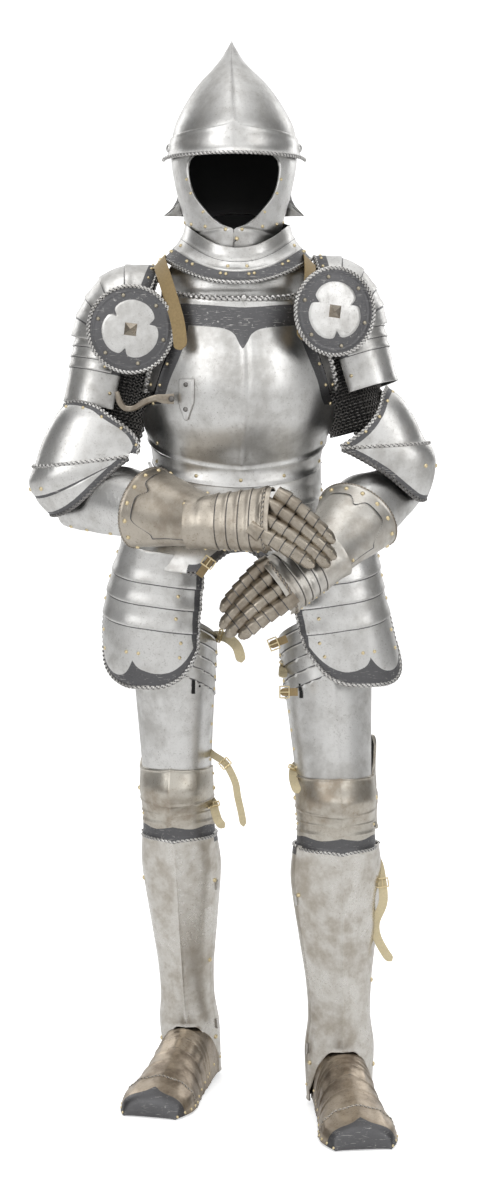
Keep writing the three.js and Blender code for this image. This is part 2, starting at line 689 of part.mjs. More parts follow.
const SHIN_ROWS = table(
  LEG_COLUMNS,
  [8, 0, -18, 48, 40, 50, 2, 0],
  [60, 0, -12, 50, 40, 50, 2, 0],
  [110, 0, -4, 51, 42, 48, 2, 2],
  [160, 0, 0, 46, 42, 44, 2, 3],
  [220, 0, 0, 48, 46, 50, 2, 4],
  [300, 0, -4, 57, 54, 60, 2, 4],
  [400, 0, -6, 66, 60, 70, 2, 4],
  [455, 0, -2, 61, 61, 62, 2, 3],
);
/** Sections of a foot, counted forward from the heel. */
const FOOT_ROWS = table(
  LEG_COLUMNS,
  [66, 0, 0, 42, 96, 10, 2.0, 4],
  [110, 0, 0, 45, 92, 10, 2.1, 5],
  [160, 0, 0, 52, 72, 10, 2.2, 4],
  [210, 0, 0, 61, 54, 10, 2.3, 3],
  [245, 0, 0, 62, 44, 10, 2.5, 2],
  [270, 0, 0, 55, 35, 10, 2.6, 1],
  [282, 0, 0, 47, 23, 10, 2.6, 0],
  [287, 0, 0, 42, 6, 10, 2.6, 0],
);
/** The greave is arched over the instep and runs down on either side of the ankle. */
const greaveFoot = (angle) => between(112, 30, (Math.abs(angle) - 45) / 30);
const FOOT_CUTS = { instep: 74, ball: 206, toe: 287 };
for (const leg of LEGS) {
  const name = side(leg.hand);
  const turned = (first, last) => (leg.hand === RIGHT ? even(-last, -first) : even(first, last));
  const thigh = legTube(leg, THIGH_ROWS);
  const knee = legTube(leg, KNEE_ROWS);
  const shin = legTube(leg, SHIN_ROWS);
  add(`${name}_cuisse`, 'bright_steel', plate(thigh, {
    sides: turned(-95, 130), ends: even(KNEE.top + SEAM, 850), across: 12, along: 4,
  }));
  // The knee plate spreads into a wing on the outer side, clear of the plates above and below.
  const wing = (angle) => THREE.MathUtils.smoothstep(leg.hand * angle, WING.from, WING.to);
  const outward = new THREE.Vector3().crossVectors(UP, leg.facing).normalize().multiplyScalar(leg.hand);
  const winged = (angle, s) => knee(angle, s).addScaledVector(outward, WING.flare * wing(angle));
  const wingEnds = (angle) => [
    KNEE.bottom + SEAM - WING.fall * wing(angle),
    KNEE.top + WING.rise * wing(angle),
  ];
  add(`${name}_poleyn`, 'bright_steel', plate(winged, {
    sides: turned(-100, 126), ends: wingEnds, across: 16, along: 4,
  }));
  add(`${name}_knee_lame`, 'dark_steel', plate(knee, {
    sides: turned(-96, 80), ends: even(KNEE.rim + SEAM, KNEE.bottom), across: 12, along: 1,
  }));
  add(`${name}_greave_front`, 'bright_steel', plate(shin, {
    sides: even(-89, 89), ends: (angle) => [greaveFoot(angle), KNEE.rim], across: 12, along: 6,
  }));
  add(`${name}_greave_back`, 'bright_steel', plate(rear(shin), {
    sides: even(-89, 89), ends: even(10, KNEE.rim), across: 10, along: 8,
  }));
  const foot = tube(leg.heel, leg.toe, UP, FOOT_ROWS);
  add(`${name}_sabaton`, 'aged_steel', plate(foot, {
    sides: even(-88, 88), ends: even(FOOT_CUTS.instep, FOOT_CUTS.ball), across: 10, along: 4,
  }));
  add(`${name}_toe_cap`, 'dark_steel', plate(foot, {
    sides: even(-88, 88), ends: even(FOOT_CUTS.ball + SEAM, FOOT_CUTS.toe), across: 10, along: 5,
  }));
}

suit.position.set(0, 0, -WAIST_HEIGHT);

export default suit;
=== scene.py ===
"""Looks for a worn suit of plate armour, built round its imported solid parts.

Each operator forges one group of plates, puts it in place of the matching solid node
and gives it its finish. Lengths in the tables are millimetres and heights run from the
ground; the row frame has its origin at the wearer's waist and is in metres.
"""

import math

import bmesh
import bpy
import numpy as np
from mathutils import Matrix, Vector


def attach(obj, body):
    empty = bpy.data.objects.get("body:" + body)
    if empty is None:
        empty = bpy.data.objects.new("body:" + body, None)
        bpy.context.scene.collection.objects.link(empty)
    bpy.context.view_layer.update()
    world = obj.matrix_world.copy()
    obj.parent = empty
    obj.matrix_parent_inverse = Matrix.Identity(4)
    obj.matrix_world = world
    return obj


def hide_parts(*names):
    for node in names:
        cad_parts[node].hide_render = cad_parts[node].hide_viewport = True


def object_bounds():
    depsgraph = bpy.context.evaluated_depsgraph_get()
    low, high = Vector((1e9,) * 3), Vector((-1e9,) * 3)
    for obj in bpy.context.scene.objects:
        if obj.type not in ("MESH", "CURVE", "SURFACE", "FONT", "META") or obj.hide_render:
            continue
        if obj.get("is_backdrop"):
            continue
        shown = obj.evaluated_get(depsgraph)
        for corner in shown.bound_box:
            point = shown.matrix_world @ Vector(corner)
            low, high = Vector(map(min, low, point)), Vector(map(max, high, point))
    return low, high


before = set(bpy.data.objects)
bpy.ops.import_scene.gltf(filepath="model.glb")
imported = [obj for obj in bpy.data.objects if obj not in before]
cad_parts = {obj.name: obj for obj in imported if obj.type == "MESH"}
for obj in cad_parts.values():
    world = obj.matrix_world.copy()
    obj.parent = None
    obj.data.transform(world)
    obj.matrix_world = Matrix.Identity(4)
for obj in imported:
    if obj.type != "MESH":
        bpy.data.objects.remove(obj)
CAD_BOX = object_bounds()

bl_info = {
    "name": "Plate Armour Forge",
    "version": (1, 0, 0),
    "blender": (4, 5, 0),
    "location": "3D Viewport > Sidebar > Armour",
    "description": "Builds the plates, straps and mail of a worn suit of armour",
    "category": "Object",
}

WAIST_HEIGHT = 1085.0
PLATE_WALL = 1.6
RIGHT = -1
LEFT = 1
UP = np.array((0.0, 0.0, 1.0))
MM = 0.001


# ---------------------------------------------------------------- tables


def table(columns, *rows):
    """Rows of numbers under named columns, as one array for each column."""
    return dict(zip(columns.split(), np.array(rows, float).T))


def smooth(rows, name, station):
    """A column of a table at stations, on a smooth curve through the rows."""
    x, y = rows["s"], rows[name]
    s = np.clip(station, x[0], x[-1])
    i = np.clip(np.searchsorted(x, s, "right") - 1, 0, len(x) - 2)
    before, after = np.r_[0, np.arange(len(x) - 1)], np.r_[np.arange(1, len(x)), len(x) - 1]
    slope = (y[after] - y[before]) / (x[after] - x[before])
    span = x[i + 1] - x[i]
    t = (s - x[i]) / span
    ends = y[i] + (y[i + 1] - y[i]) * t * t * (3 - 2 * t)
    return ends + (slope[i] * t * (1 - t) ** 2 + slope[i + 1] * t * t * (t - 1)) * span


def unit(v):
    v = np.asarray(v, float)
    return v / np.maximum(np.linalg.norm(v, axis=-1, keepdims=True), 1e-9)


def between(low, high, t):
    return low + (high - low) * np.clip(t, 0, 1)


def soft_step(t):
    t = np.clip(t, 0, 1)
    return t * t * (3 - 2 * t)


def sin_deg(a):
    return np.sin(np.radians(a))


def cos_deg(a):
    return np.cos(np.radians(a))


# ---------------------------------------------------------------- surfaces


def tube(start, axis, facing, rows):
    """A tube along a straight axis. Angle 0 faces `facing`, growing towards axis x facing."""
    start, along = np.asarray(start, float), unit(axis)
    facing = np.asarray(facing, float)
    front = unit(facing - along * facing.dot(along))
    across = np.cross(along, front)

    def surface(angle, s):
        angle, s = np.broadcast_arrays(np.asarray(angle, float), np.asarray(s, float))
        c, d = cos_deg(angle), sin_deg(angle)
        power = 2 / smooth(rows, "square", s)
        reach = np.where(c > 0, smooth(rows, "front", s), smooth(rows, "back", s))
        ridge = np.maximum(0, 1 - np.abs(sin_deg(angle / 2)) * 3) ** 2
        f = smooth(rows, "rise", s) + np.sign(c) * reach * np.abs(c) ** power
        f = f + np.where(c > 0, smooth(rows, "keel", s) * ridge, 0)
        w = smooth(rows, "side", s) + np.sign(d) * smooth(rows, "wide", s) * np.abs(d) ** power
        return start + s[..., None] * along + f[..., None] * front + w[..., None] * across

    return surface


def fan(pivot, hand, swing, rows):
    """A dome whose lames fan out round a line through `pivot`; a station is a turn from upright."""
    pivot = np.asarray(pivot, float)
    out = np.array((hand * cos_deg(swing), sin_deg(swing), 0))
    line = np.array((-hand * sin_deg(swing), cos_deg(swing), 0))

    def surface(angle, turn):
        angle, turn = np.broadcast_arrays(np.asarray(angle, float), np.asarray(turn, float))
        reach = smooth(rows, "reach", turn) * np.abs(cos_deg(angle)) ** 0.8
        width = smooth(rows, "half", turn) * sin_deg(angle)
        flat = (reach * sin_deg(turn))[..., None] * out + (reach * cos_deg(turn))[..., None] * UP
        return pivot + flat + width[..., None] * line

    return surface


def eased(surface, drop=None, flare=None):
    """The same surface, let down by `drop(angle)` and pushed out by `flare(angle, s)`."""

    def moved(angle, s):
        p = surface(angle, s)
        angle, s = np.broadcast_arrays(np.asarray(angle, float), np.asarray(s, float))
        out = unit(p * (1, 1, 0))
        if flare:
            p = p + out * flare(angle, s)[..., None]
        if drop:
            p = p - drop(angle)[..., None] * UP
        return p

    return moved


def rear(surface):
    return lambda angle, s: surface(np.asarray(angle) + 180, s)


# ---------------------------------------------------------------- forging


class Forging:
    """One piece under the hammer: it gathers plates, ropes, rivets and straps into a mesh."""

    def __init__(self):
        self.points, self.faces, self.coats, self.bands = [], [], [], []
        self.count = 0

    def add(self, points, faces, coat, band=0.0):
        points = np.asarray(points, float).reshape(-1, 3)
        faces = np.asarray(faces, int)
        self.points.append(points)
        self.faces.append(faces + self.count)
        coats = np.full(len(faces), coat) if np.isscalar(coat) else np.asarray(coat)
        self.coats.append(coats)
        self.bands.append(np.broadcast_to(np.asarray(band, float).ravel(), (len(points),))
                          if np.size(band) in (1, len(points)) else np.zeros(len(points)))
        self.count += len(points)

    def finish(self, name, replaces, body="suit", corner=38):
        """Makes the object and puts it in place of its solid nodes."""
        coat_names = []
        for coats in self.coats:
            for c in np.unique(coats):
                if c not in coat_names:
                    coat_names.append(str(c))
        points = np.concatenate(self.points)
        points = (points - (0, 0, WAIST_HEIGHT)) * MM
        faces = np.concatenate(self.faces)
        mesh = bpy.data.meshes.new(name)
        mesh.from_pydata(points.tolist(), [], [list(dict.fromkeys(face)) for face in faces.tolist()])
        for coat in coat_names:
            mesh.materials.append(bpy.data.materials[coat])
        lookup = {c: i for i, c in enumerate(coat_names)}
        index = np.array([lookup[str(c)] for c in np.concatenate(self.coats)], np.int32)
        mesh.polygons.foreach_set("material_index", index)
        mesh.attributes.new("band", "FLOAT", "POINT").data.foreach_set(
            "value", np.concatenate(self.bands).astype(np.float32))
        weld = bmesh.new()
        weld.from_mesh(mesh)
        bmesh.ops.remove_doubles(weld, verts=weld.verts, dist=0.01 * MM)
        bmesh.ops.recalc_face_normals(weld, faces=weld.faces)
        weld.to_mesh(mesh)
        weld.free()
        mesh.shade_smooth()
        mesh.set_sharp_from_angle(angle=math.radians(corner))
        mesh.validate()
        obj = bpy.data.objects.new(name, mesh)
        bpy.context.scene.collection.objects.link(obj)
        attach(obj, body)
        if replaces:
            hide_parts(*replaces)
        return obj


def grid_faces(rows, columns, closed_u=False, closed_v=False):
    """Quads of a grid of rows x columns points, wrapping round where asked."""
    j = np.arange(rows if closed_v else rows - 1)[:, None]
    i = np.arange(columns if closed_u else columns - 1)[None, :]
    a, b = j * columns + i, j * columns + (i + 1) % columns
    c, d = (j + 1) % rows * columns + (i + 1) % columns, (j + 1) % rows * columns + i
    return np.stack([a + 0 * b, b + 0 * a, c, d], -1).reshape(-1, 4)


def grid_normals(p, ring):
    """Normals of a grid of points: across x along."""
    if ring:
        du = np.roll(p, -1, 1) - np.roll(p, 1, 1)
    else:
        du = np.gradient(p, axis=1)
    dv = np.gradient(p, axis=0)
    small = np.linalg.norm(du, axis=-1).max(1) < 0.05
    for j in np.flatnonzero(small):
        near = j - 1 if j else 1
        du[j] = du[near]
    n = unit(np.cross(du, dv))
    for j in np.flatnonzero(small):
        n[j] = unit(n[j].mean(0))
    return n


class Sheet:
    """A stretch of a surface cut to an outline, as a grid of points with its normals."""

    def __init__(self, surface, sides, ends, across, along, ring=False, proud=0.0, relief=None):
        t = np.linspace(0, 1, across + 1)
        if ring:
            t = t[:-1]
        v = np.linspace(0, 1, along + 1)[:, None]
        first, last = sides(v) if callable(sides) else sides
        self.angle = (first + (last - first) * t[None, :]) * np.ones_like(v)
        low, high = ends(self.angle) if callable(ends) else ends
        self.s = (low + (high - low) * v) * np.ones_like(self.angle)
        self.t, self.v = np.broadcast_arrays(t[None, :], v)
        self.ring = ring
        self.base = surface(self.angle, self.s)
        self.normal = grid_normals(self.base, ring)
        if (self.normal * (self.base - self.base.mean((0, 1)))).sum(-1).mean() < -2:
            self.normal = -self.normal
        self.face = self.base
        lift = proud + (relief(self) if relief else 0.0)
        self.face = self.base + self.normal * (lift * np.ones_like(self.s))[..., None]
        self.into = self.base + self.normal * (proud * np.ones_like(self.s))[..., None]

    def from_low(self):
        """Distance in mm of each point from the low end, along its column."""
        step = np.linalg.norm(np.diff(self.face, axis=0), axis=-1)
        return np.concatenate([np.zeros((1, step.shape[1])), np.cumsum(step, 0)])

    def from_high(self):
        d = self.from_low()
        return d[-1:] - d

    def from_sides(self):
        """Distance in mm of each point from the nearer side."""
        step = np.linalg.norm(np.diff(self.face, axis=1), axis=-1)
        d = np.concatenate([np.zeros((step.shape[0], 1)), np.cumsum(step, 1)], 1)
        return np.minimum(d, d[:, -1:] - d)

    def from_first(self):
        step = np.linalg.norm(np.diff(self.face, axis=1), axis=-1)
        return np.concatenate([np.zeros((step.shape[0], 1)), np.cumsum(step, 1)], 1)

    def from_last(self):
        d = self.from_first()
        return d[:, -1:] - d

    def at(self, where):
        """The points and normals at an index of the grid."""
        return self.face[where], self.normal[where]

    def edge(self, which):
        """The points and normals along one edge."""
        pick = {"low": (0, slice(None)), "high": (-1, slice(None)),
                "first": (slice(None), 0), "last": (slice(None), -1)}[which]
        return self.at(pick)


def band_of(distance, width):
    """A mask value that crosses one half at `width` mm: dark inside, bright outside."""
    return np.clip(0.5 + (width - distance) / 16, 0, 1)


# The lining of a plate is hidden, so it is drawn with at most this many steps each way.
LINING_STEPS = 18
# The edges of a grid of points, one after the other, all round it.
ALL_ROUND = ((0, slice(None)), (slice(1, None), -1),
             (-1, slice(-2, None, -1)), (slice(-2, 0, -1), 0))


def straighten(line, picks, ring=False):
    """The line with its points moved onto the chords between the picked ones."""
    at = np.arange(len(line))
    period = len(line) if ring else None
    return np.stack([np.interp(at, picks, line[picks, k], period=period) for k in range(3)], -1)


def hammer(forging, sheet, coat, band=0.0, wall=PLATE_WALL, lining="inner_steel", hem=False):
    """Gives a sheet its wall and a rounded rim, and adds it to a forging. Where `hem` is true its
    inside has the finish of its face."""
    rows, columns = sheet.s.shape
    outer = sheet.face
    inner = sheet.into - sheet.normal * wall
    ring = sheet.ring
    band = band * np.ones_like(sheet.s)
    forging.add(outer, grid_faces(rows, columns, ring), coat, band)
    down = np.unique(np.append(np.arange(0, rows - 1, math.ceil(rows / LINING_STEPS)), rows - 1))
    over = np.arange(0, columns - (0 if ring else 1), math.ceil(columns / LINING_STEPS))
    over = over if ring else np.unique(np.append(over, columns - 1))
    if np.any(hem):
        down, over = np.arange(rows), np.arange(columns)
    few = np.ix_(down, over)
    bright = np.broadcast_to(hem, (rows, columns))[few][:-1, :None if ring else -1].ravel()
    faces = grid_faces(len(down), len(over), ring)[:, ::-1]
    # The inside takes the `lining` coat, which by default is the near-black painted shade of a plate's inside.
    forging.add(inner[few], faces, np.where(bright, coat, lining))
    for k in (0, -1):
        inner[k] = straighten(inner[k], over, ring)
        if not ring:
            inner[:, k] = straighten(inner[:, k], down)

    def rim(line, normals, inside, values, outward, closed):
        middle = (line + inside) / 2 + outward * wall * 0.45
        high = line + outward * wall * 0.25 - normals * wall * 0.12
        strips = np.stack([inside, middle, high, line])
        shades = np.stack([values] * 4)
        forging.add(strips, grid_faces(4, len(line), closed), coat, shades)

    if ring:
        for pick, near in ((0, 1), (-1, -2)):
            outward = unit(outer[pick] - outer[near])
            line, n, inside, value = outer[pick], sheet.normal[pick], inner[pick], band[pick]
            if pick:
                line, n, inside, value, outward = (a[::-1] for a in (line, n, inside, value, outward))
            if np.linalg.norm(line - line[0], axis=-1).max() > 0.5:
                rim(line, n, inside, value, outward, True)
    else:
        line, n, inside, value = (np.concatenate([a[p] for p in ALL_ROUND])
                                  for a in (outer, sheet.normal, inner, band))
        run = unit(np.roll(line, -1, 0) - np.roll(line, 1, 0))
        rim(line, n, inside, value, unit(np.cross(run, n)), True)


def along_line(points, normals, step, closed=False, inset=0.0, start=0.0, stop=None):
    """Points and normals at even steps along a line."""
    p, n = np.asarray(points, float), np.asarray(normals, float)
    if closed:
        p, n = np.concatenate([p, p[:1]]), np.concatenate([n, n[:1]])
    length = np.concatenate([[0], np.cumsum(np.linalg.norm(np.diff(p, axis=0), axis=-1))])
    low, high = start + inset, (length[-1] if stop is None else stop) - inset
    count = max(int(round((high - low) / step)), 1)
    where = np.linspace(low, high, count, endpoint=False) if closed else np.linspace(low, high, count + 1)
    pick = lambda a: np.stack([np.interp(where, length, a[:, k]) for k in range(3)], -1)
    return pick(p), unit(pick(n))


ROPE_SIDES = 7
ROPE_STEPS = 5


def rope(forging, points, normals, radius, pitch, coat, closed=False, sunk=0.35):
    """A roped edge: a bead along a line, cut with slanting grooves `pitch` apart, with painted shade in the
    grooves.
    """
    p, n = along_line(points, normals, pitch / ROPE_STEPS, closed)
    run = unit(np.roll(p, -1, 0) - np.roll(p, 1, 0) if closed else np.gradient(p, axis=0))
    aside = unit(np.cross(run, n))
    n = np.cross(aside, run)
    length = np.arange(len(p)) * pitch / ROPE_STEPS
    if closed:
        turns = round(len(p) / ROPE_STEPS)
        length = np.arange(len(p)) * pitch * turns / len(p)
    turn = np.linspace(0, 2 * np.pi, ROPE_SIDES, endpoint=False)
    strand = np.abs(np.cos(turn[None, :] - np.pi * length[:, None] / pitch))
    r = radius * (0.66 + 0.42 * strand)
    centre = p - n * radius * sunk
    ring = (centre[:, None] + (r * np.cos(turn))[..., None] * n[:, None]
            + (r * np.sin(turn))[..., None] * aside[:, None])
    # The grooves between the strands are painted dark: painted shade in the recesses.
    dark = np.clip(1.02 - strand, 0, 1)
    forging.add(ring, grid_faces(len(p), ROPE_SIDES, True, closed)[:, ::-1], coat, dark)


RIVET_SIZE = 1.22
DOME = ((1.0, 0.0), (0.95, 0.3), (0.68, 0.62), (0.3, 0.78))


def rivets(forging, points, normals, radius=2.6, coat="brass", sides=8):
    """Domed rivet heads standing on points."""
    p, n = np.atleast_2d(points), np.atleast_2d(unit(normals))
    radius = radius * RIVET_SIZE
    helper = np.where(np.abs(n[:, 2:3]) < 0.8, UP, (1.0, 0.0, 0.0))
    a = unit(np.cross(n, helper))
    b = np.cross(n, a)
    turn = np.linspace(0, 2 * np.pi, sides, endpoint=False)
    for k in range(len(p)):
        rings = [p[k] + radius * (r * (np.cos(turn)[:, None] * a[k] + np.sin(turn)[:, None] * b[k])
                                  + (h - 0.05) * n[k]) for r, h in DOME]
        forging.add(np.stack(rings), grid_faces(len(DOME), sides, True), coat)
        tip = len(DOME) - 1
        centre = p[k] + radius * 0.8 * n[k]
        forging.add(np.concatenate([rings[tip], [centre]]),
                    [(i, (i + 1) % sides, sides, sides) for i in range(sides)], coat)


def rivet_row(forging, points, normals, step, inset=8.0, radius=2.6, closed=False, **more):
    p, n = along_line(points, normals, step, closed, inset if not closed else 0)
    rivets(forging, p, n, radius, **more)


def strap(forging, points, normals, width, thickness, coat, tip=0.0, wave=0.0):
    """A strap laid along a line, its flat side along the normals, its end rounded by `tip`."""
    p, n = along_line(points, normals, 4.0)
    run = unit(np.gradient(p, axis=0))
    aside = unit(np.cross(run, n))
    n = np.cross(aside, run)
    length = np.linspace(0, 1, len(p))
    half = np.full(len(p), width / 2)
    if tip:
        rest = (1 - length) * len(p) * 4.0
        half = half * np.sqrt(np.clip(1 - (1 - np.clip(rest / tip, 0, 1)) ** 2, 0.02, 1))
    section = [(-1, 0), (-0.96, 0.5), (0.96, 0.5), (1, 0), (0.96, -0.5), (-0.96, -0.5)]
    bend = wave * np.sin(length * 19) * np.sin(length * 7)
    rows = np.stack([p + aside * (half * a)[:, None] + n * (thickness * b + bend)[:, None]
                     for a, b in section], 1)
    faces = grid_faces(len(p), len(section), True)
    forging.add(rows, faces, coat)
    caps = [list(range(3, -1, -1)), [0, 5, 4, 3]]
    end = (len(p) - 1) * len(section)
    ends = [[0, 1, 2, 3], [0, 3, 4, 5]] + [[end + i for i in c] for c in caps]
    forging.add(rows, ends, coat)


def bar(forging, points, normals, width, thickness, coat, closed=False):
    """A rod of flat or square section along a line."""
    p, n = np.asarray(points, float), np.asarray(normals, float) * np.ones((len(points), 1))
    run = unit(np.roll(p, -1, 0) - np.roll(p, 1, 0) if closed else np.gradient(p, axis=0))
    aside = unit(np.cross(run, n))
    n = unit(np.cross(aside, run))
    ring = [(-1, -0.6), (-1, 0.6), (-0.6, 1), (0.6, 1), (1, 0.6), (1, -0.6), (0.6, -1), (-0.6, -1)]
    rows = np.stack([p + aside * width / 2 * a + n * thickness / 2 * b for a, b in ring], 1)
    forging.add(rows, grid_faces(len(p), 8, True, closed), coat)
    if not closed:
        end = (len(p) - 1) * 8
        for first in (0, end):
            quads = [[0, 1, 2, 3], [0, 3, 4, 7], [4, 5, 6, 7]]
            quads = [[first + i for i in q] for q in quads]
            forging.add(rows, quads if first else [q[::-1] for q in quads], coat)


def buckle(forging, centre, normal, run, width, length, coat="brass"):
    """A square frame with its pin, lying on a strap."""
    centre, normal, run = np.asarray(centre, float), unit(normal), unit(run)
    side = unit(np.cross(run, normal))
    corners = [centre + side * width / 2 * a + run * length / 2 * b + normal * 2.2
               for a, b in ((-1, -1), (-1, 0), (-1, 1), (0, 1), (1, 1), (1, 0), (1, -1), (0, -1))]
    bar(forging, np.array(corners), normal, 2.6, 2.6, coat, closed=True)
    pin = np.array([centre - run * length / 2 + normal * 3.4, centre + run * length / 2 + normal * 4.2])
    bar(forging, pin, normal, 2.0, 2.0, coat)


# ---------------------------------------------------------------- finishes


def group_socket(tree, name, kind, into, default=None):
    socket = tree.interface.new_socket(name, in_out=into, socket_type=kind)
    if default is not None:
        socket.default_value = default
    return socket


def worn_steel_group():
    """Steel that has been polished, stained and scratched, with a dark band where `band` says: blackened steel
    in some places, and in others painted shadow lines and painted shade in grooves and creases.
    """
    tree = bpy.data.node_groups.new("worn_steel", "ShaderNodeTree")
    group_socket(tree, "Bright", "NodeSocketColor", "INPUT", (0.8, 0.8, 0.79, 1))
    group_socket(tree, "Stain", "NodeSocketColor", "INPUT", (0.4, 0.37, 0.33, 1))
    group_socket(tree, "Stain Amount", "NodeSocketFloat", "INPUT", 0.4)
    group_socket(tree, "Blackening and Shade", "NodeSocketColor", "INPUT", (0.09, 0.088, 0.09, 1))
    group_socket(tree, "Base Roughness", "NodeSocketFloat", "INPUT", 0.3)
    for name, kind in (("Color", "Color"), ("Roughness", "Float"), ("Height", "Float")):
        group_socket(tree, name, "NodeSocket" + kind, "OUTPUT")
    nodes, links = tree.nodes, tree.links
    inputs = nodes.new("NodeGroupInput").outputs
    outputs = nodes.new("NodeGroupOutput").inputs
    place = nodes.new("ShaderNodeTexCoord").outputs["Object"]

    def noise(scale, detail, rough=0.55, stretch=None, distortion=0.0):
        node = nodes.new("ShaderNodeTexNoise")
        node.inputs["Scale"].default_value = scale
        node.inputs["Detail"].default_value = detail
        node.inputs["Roughness"].default_value = rough
        node.inputs["Distortion"].default_value = distortion
        source = place
        if stretch:
            mapping = nodes.new("ShaderNodeMapping")
            mapping.inputs["Scale"].default_value = stretch[:3]
            mapping.inputs["Rotation"].default_value = stretch[3:]
            links.new(place, mapping.inputs["Vector"])
            source = mapping.outputs["Vector"]
        links.new(source, node.inputs["Vector"])
        return node.outputs["Fac"]

    def ramp(value, low, high, bottom=0.0, top=1.0):
        node = nodes.new("ShaderNodeMapRange")
        node.interpolation_type = "SMOOTHSTEP"
        for name, number in (("From Min", low), ("From Max", high), ("To Min", bottom), ("To Max", top)):
            node.inputs[name].default_value = number
        links.new(value, node.inputs["Value"])
        return node.outputs["Result"]

    def sums(operation, a, b, c=None):
        node = nodes.new("ShaderNodeMath")
        node.operation = operation
        for i, value in enumerate(v for v in (a, b, c) if v is not None):
            if isinstance(value, (int, float)):
                node.inputs[i].default_value = value
            else:
                links.new(value, node.inputs[i])
        return node.outputs[0]

    def mix(factor, a, b):
        node = nodes.new("ShaderNodeMix")
        node.data_type = "RGBA"
        links.new(factor, node.inputs["Factor"])
        for socket, value in ((node.inputs["A"], a), (node.inputs["B"], b)):
            if isinstance(value, tuple):
                socket.default_value = value
            else:
                links.new(value, socket)
        return node.outputs["Result"]

    clouds = noise(9, 6, 0.62, distortion=0.4)
    blotch = noise(38, 7, 0.66)
    pits = noise(330, 4, 0.75)
    fine = noise(160, 5, 0.7)
    scratch_a = noise(60, 2, 0.5, (1.0, 1.0, 16.0, 0.3, 0.9, 0.2))
    scratch_b = noise(70, 2, 0.5, (14.0, 1.0, 1.0, 0.2, -0.5, 0.6))
    attribute = nodes.new("ShaderNodeAttribute")
    attribute.attribute_name = "band"
    edge = sums("MULTIPLY_ADD", sums("SUBTRACT", fine, 0.5), 0.10, attribute.outputs["Fac"])
    band = ramp(edge, 0.47, 0.53)
    stains = sums("MULTIPLY_ADD", clouds, 0.55, sums("MULTIPLY", blotch, 0.45))
    stained = sums("MULTIPLY", ramp(stains, 0.42, 0.64), inputs["Stain Amount"])
    speckle = sums("MULTIPLY", ramp(pits, 0.54, 0.66), ramp(blotch, 0.36, 0.60, 0.25, 1.0))
    dirt = sums("MAXIMUM", stained, sums("MULTIPLY", speckle, 0.75))
    plain = mix(dirt, inputs["Bright"], inputs["Stain"])
    chips = sums("MAXIMUM", ramp(scratch_a, 0.64, 0.70), ramp(fine, 0.60, 0.70))
    chips = sums("MULTIPLY", chips, ramp(clouds, 0.35, 0.62, 0.2, 0.95))
    # This dark colour serves both the blackened bands and the painted shade.
    black = mix(chips, inputs["Blackening and Shade"], (0.52, 0.51, 0.49, 1.0))
    links.new(mix(band, plain, black), outputs["Color"])
    scratches = sums("ADD", ramp(scratch_a, 0.6, 0.75), ramp(scratch_b, 0.6, 0.75))
    rough = sums("MULTIPLY_ADD", stains, 0.44, sums("SUBTRACT", inputs["Base Roughness"], 0.22))
    rough = sums("MULTIPLY_ADD", speckle, 0.2, rough)
    rough = sums("MULTIPLY_ADD", band, 0.10, rough)
    links.new(rough, outputs["Roughness"])
    height = sums("MULTIPLY_ADD", pits, -0.35, sums("MULTIPLY", scratches, 0.3))
    height = sums("MULTIPLY_ADD", blotch, 0.9, height)
    links.new(sums("MULTIPLY_ADD", band, -0.5, height), outputs["Height"])
    return tree


def steel(name, group, bright, stain, amount, roughness, bump=0.12, black=(0.135, 0.134, 0.138)):
    """A steel finish made from the shared wear."""
    material = bpy.data.materials.new(name)
    material.use_nodes = True
    nodes, links = material.node_tree.nodes, material.node_tree.links
    shader = nodes["Principled BSDF"]
    shader.inputs["Metallic"].default_value = 1.0
    wear = nodes.new("ShaderNodeGroup")
    wear.node_tree = group
    wear.inputs["Bright"].default_value = (*bright, 1)
    wear.inputs["Stain"].default_value = (*stain, 1)
    wear.inputs["Stain Amount"].default_value = amount
    wear.inputs["Blackening and Shade"].default_value = (*black, 1)
    wear.inputs["Base Roughness"].default_value = roughness
    links.new(wear.outputs["Color"], shader.inputs["Base Color"])
    links.new(wear.outputs["Roughness"], shader.inputs["Roughness"])
    relief = nodes.new("ShaderNodeBump")
    relief.inputs["Strength"].default_value = bump
    relief.inputs["Distance"].default_value = 0.0012
    links.new(wear.outputs["Height"], relief.inputs["Height"])
    links.new(relief.outputs["Normal"], shader.inputs["Normal"])
    return material


def plain_finish(name, color, roughness, metallic, grain=0.0, scale=300.0, spread=0.0):
    """A finish of one colour, with a fine grain where asked."""
    material = bpy.data.materials.new(name)
    material.use_nodes = True
    nodes, links = material.node_tree.nodes, material.node_tree.links
    shader = nodes["Principled BSDF"]
    shader.inputs["Metallic"].default_value = metallic
    shader.inputs["Roughness"].default_value = roughness
    shader.inputs["Base Color"].default_value = (*color, 1)
    if grain or spread:
        place = nodes.new("ShaderNodeTexCoord").outputs["Object"]
        noise = nodes.new("ShaderNodeTexNoise")
        noise.inputs["Scale"].default_value = scale
        noise.inputs["Detail"].default_value = 6
        links.new(place, noise.inputs["Vector"])
        mix = nodes.new("ShaderNodeMix")
        mix.data_type = "RGBA"
        mix.inputs["A"].default_value = (*[c * (1 - spread) for c in color], 1)
        mix.inputs["B"].default_value = (*[min(1, c * (1 + spread)) for c in color], 1)
        links.new(noise.outputs["Fac"], mix.inputs["Factor"])
        links.new(mix.outputs["Result"], shader.inputs["Base Color"])
        relief = nodes.new("ShaderNodeBump")
        relief.inputs["Strength"].default_value = grain
        relief.inputs["Distance"].default_value = 0.001
        links.new(noise.outputs["Fac"], relief.inputs["Height"])
        links.new(relief.outputs["Normal"], shader.inputs["Normal"])
    return material


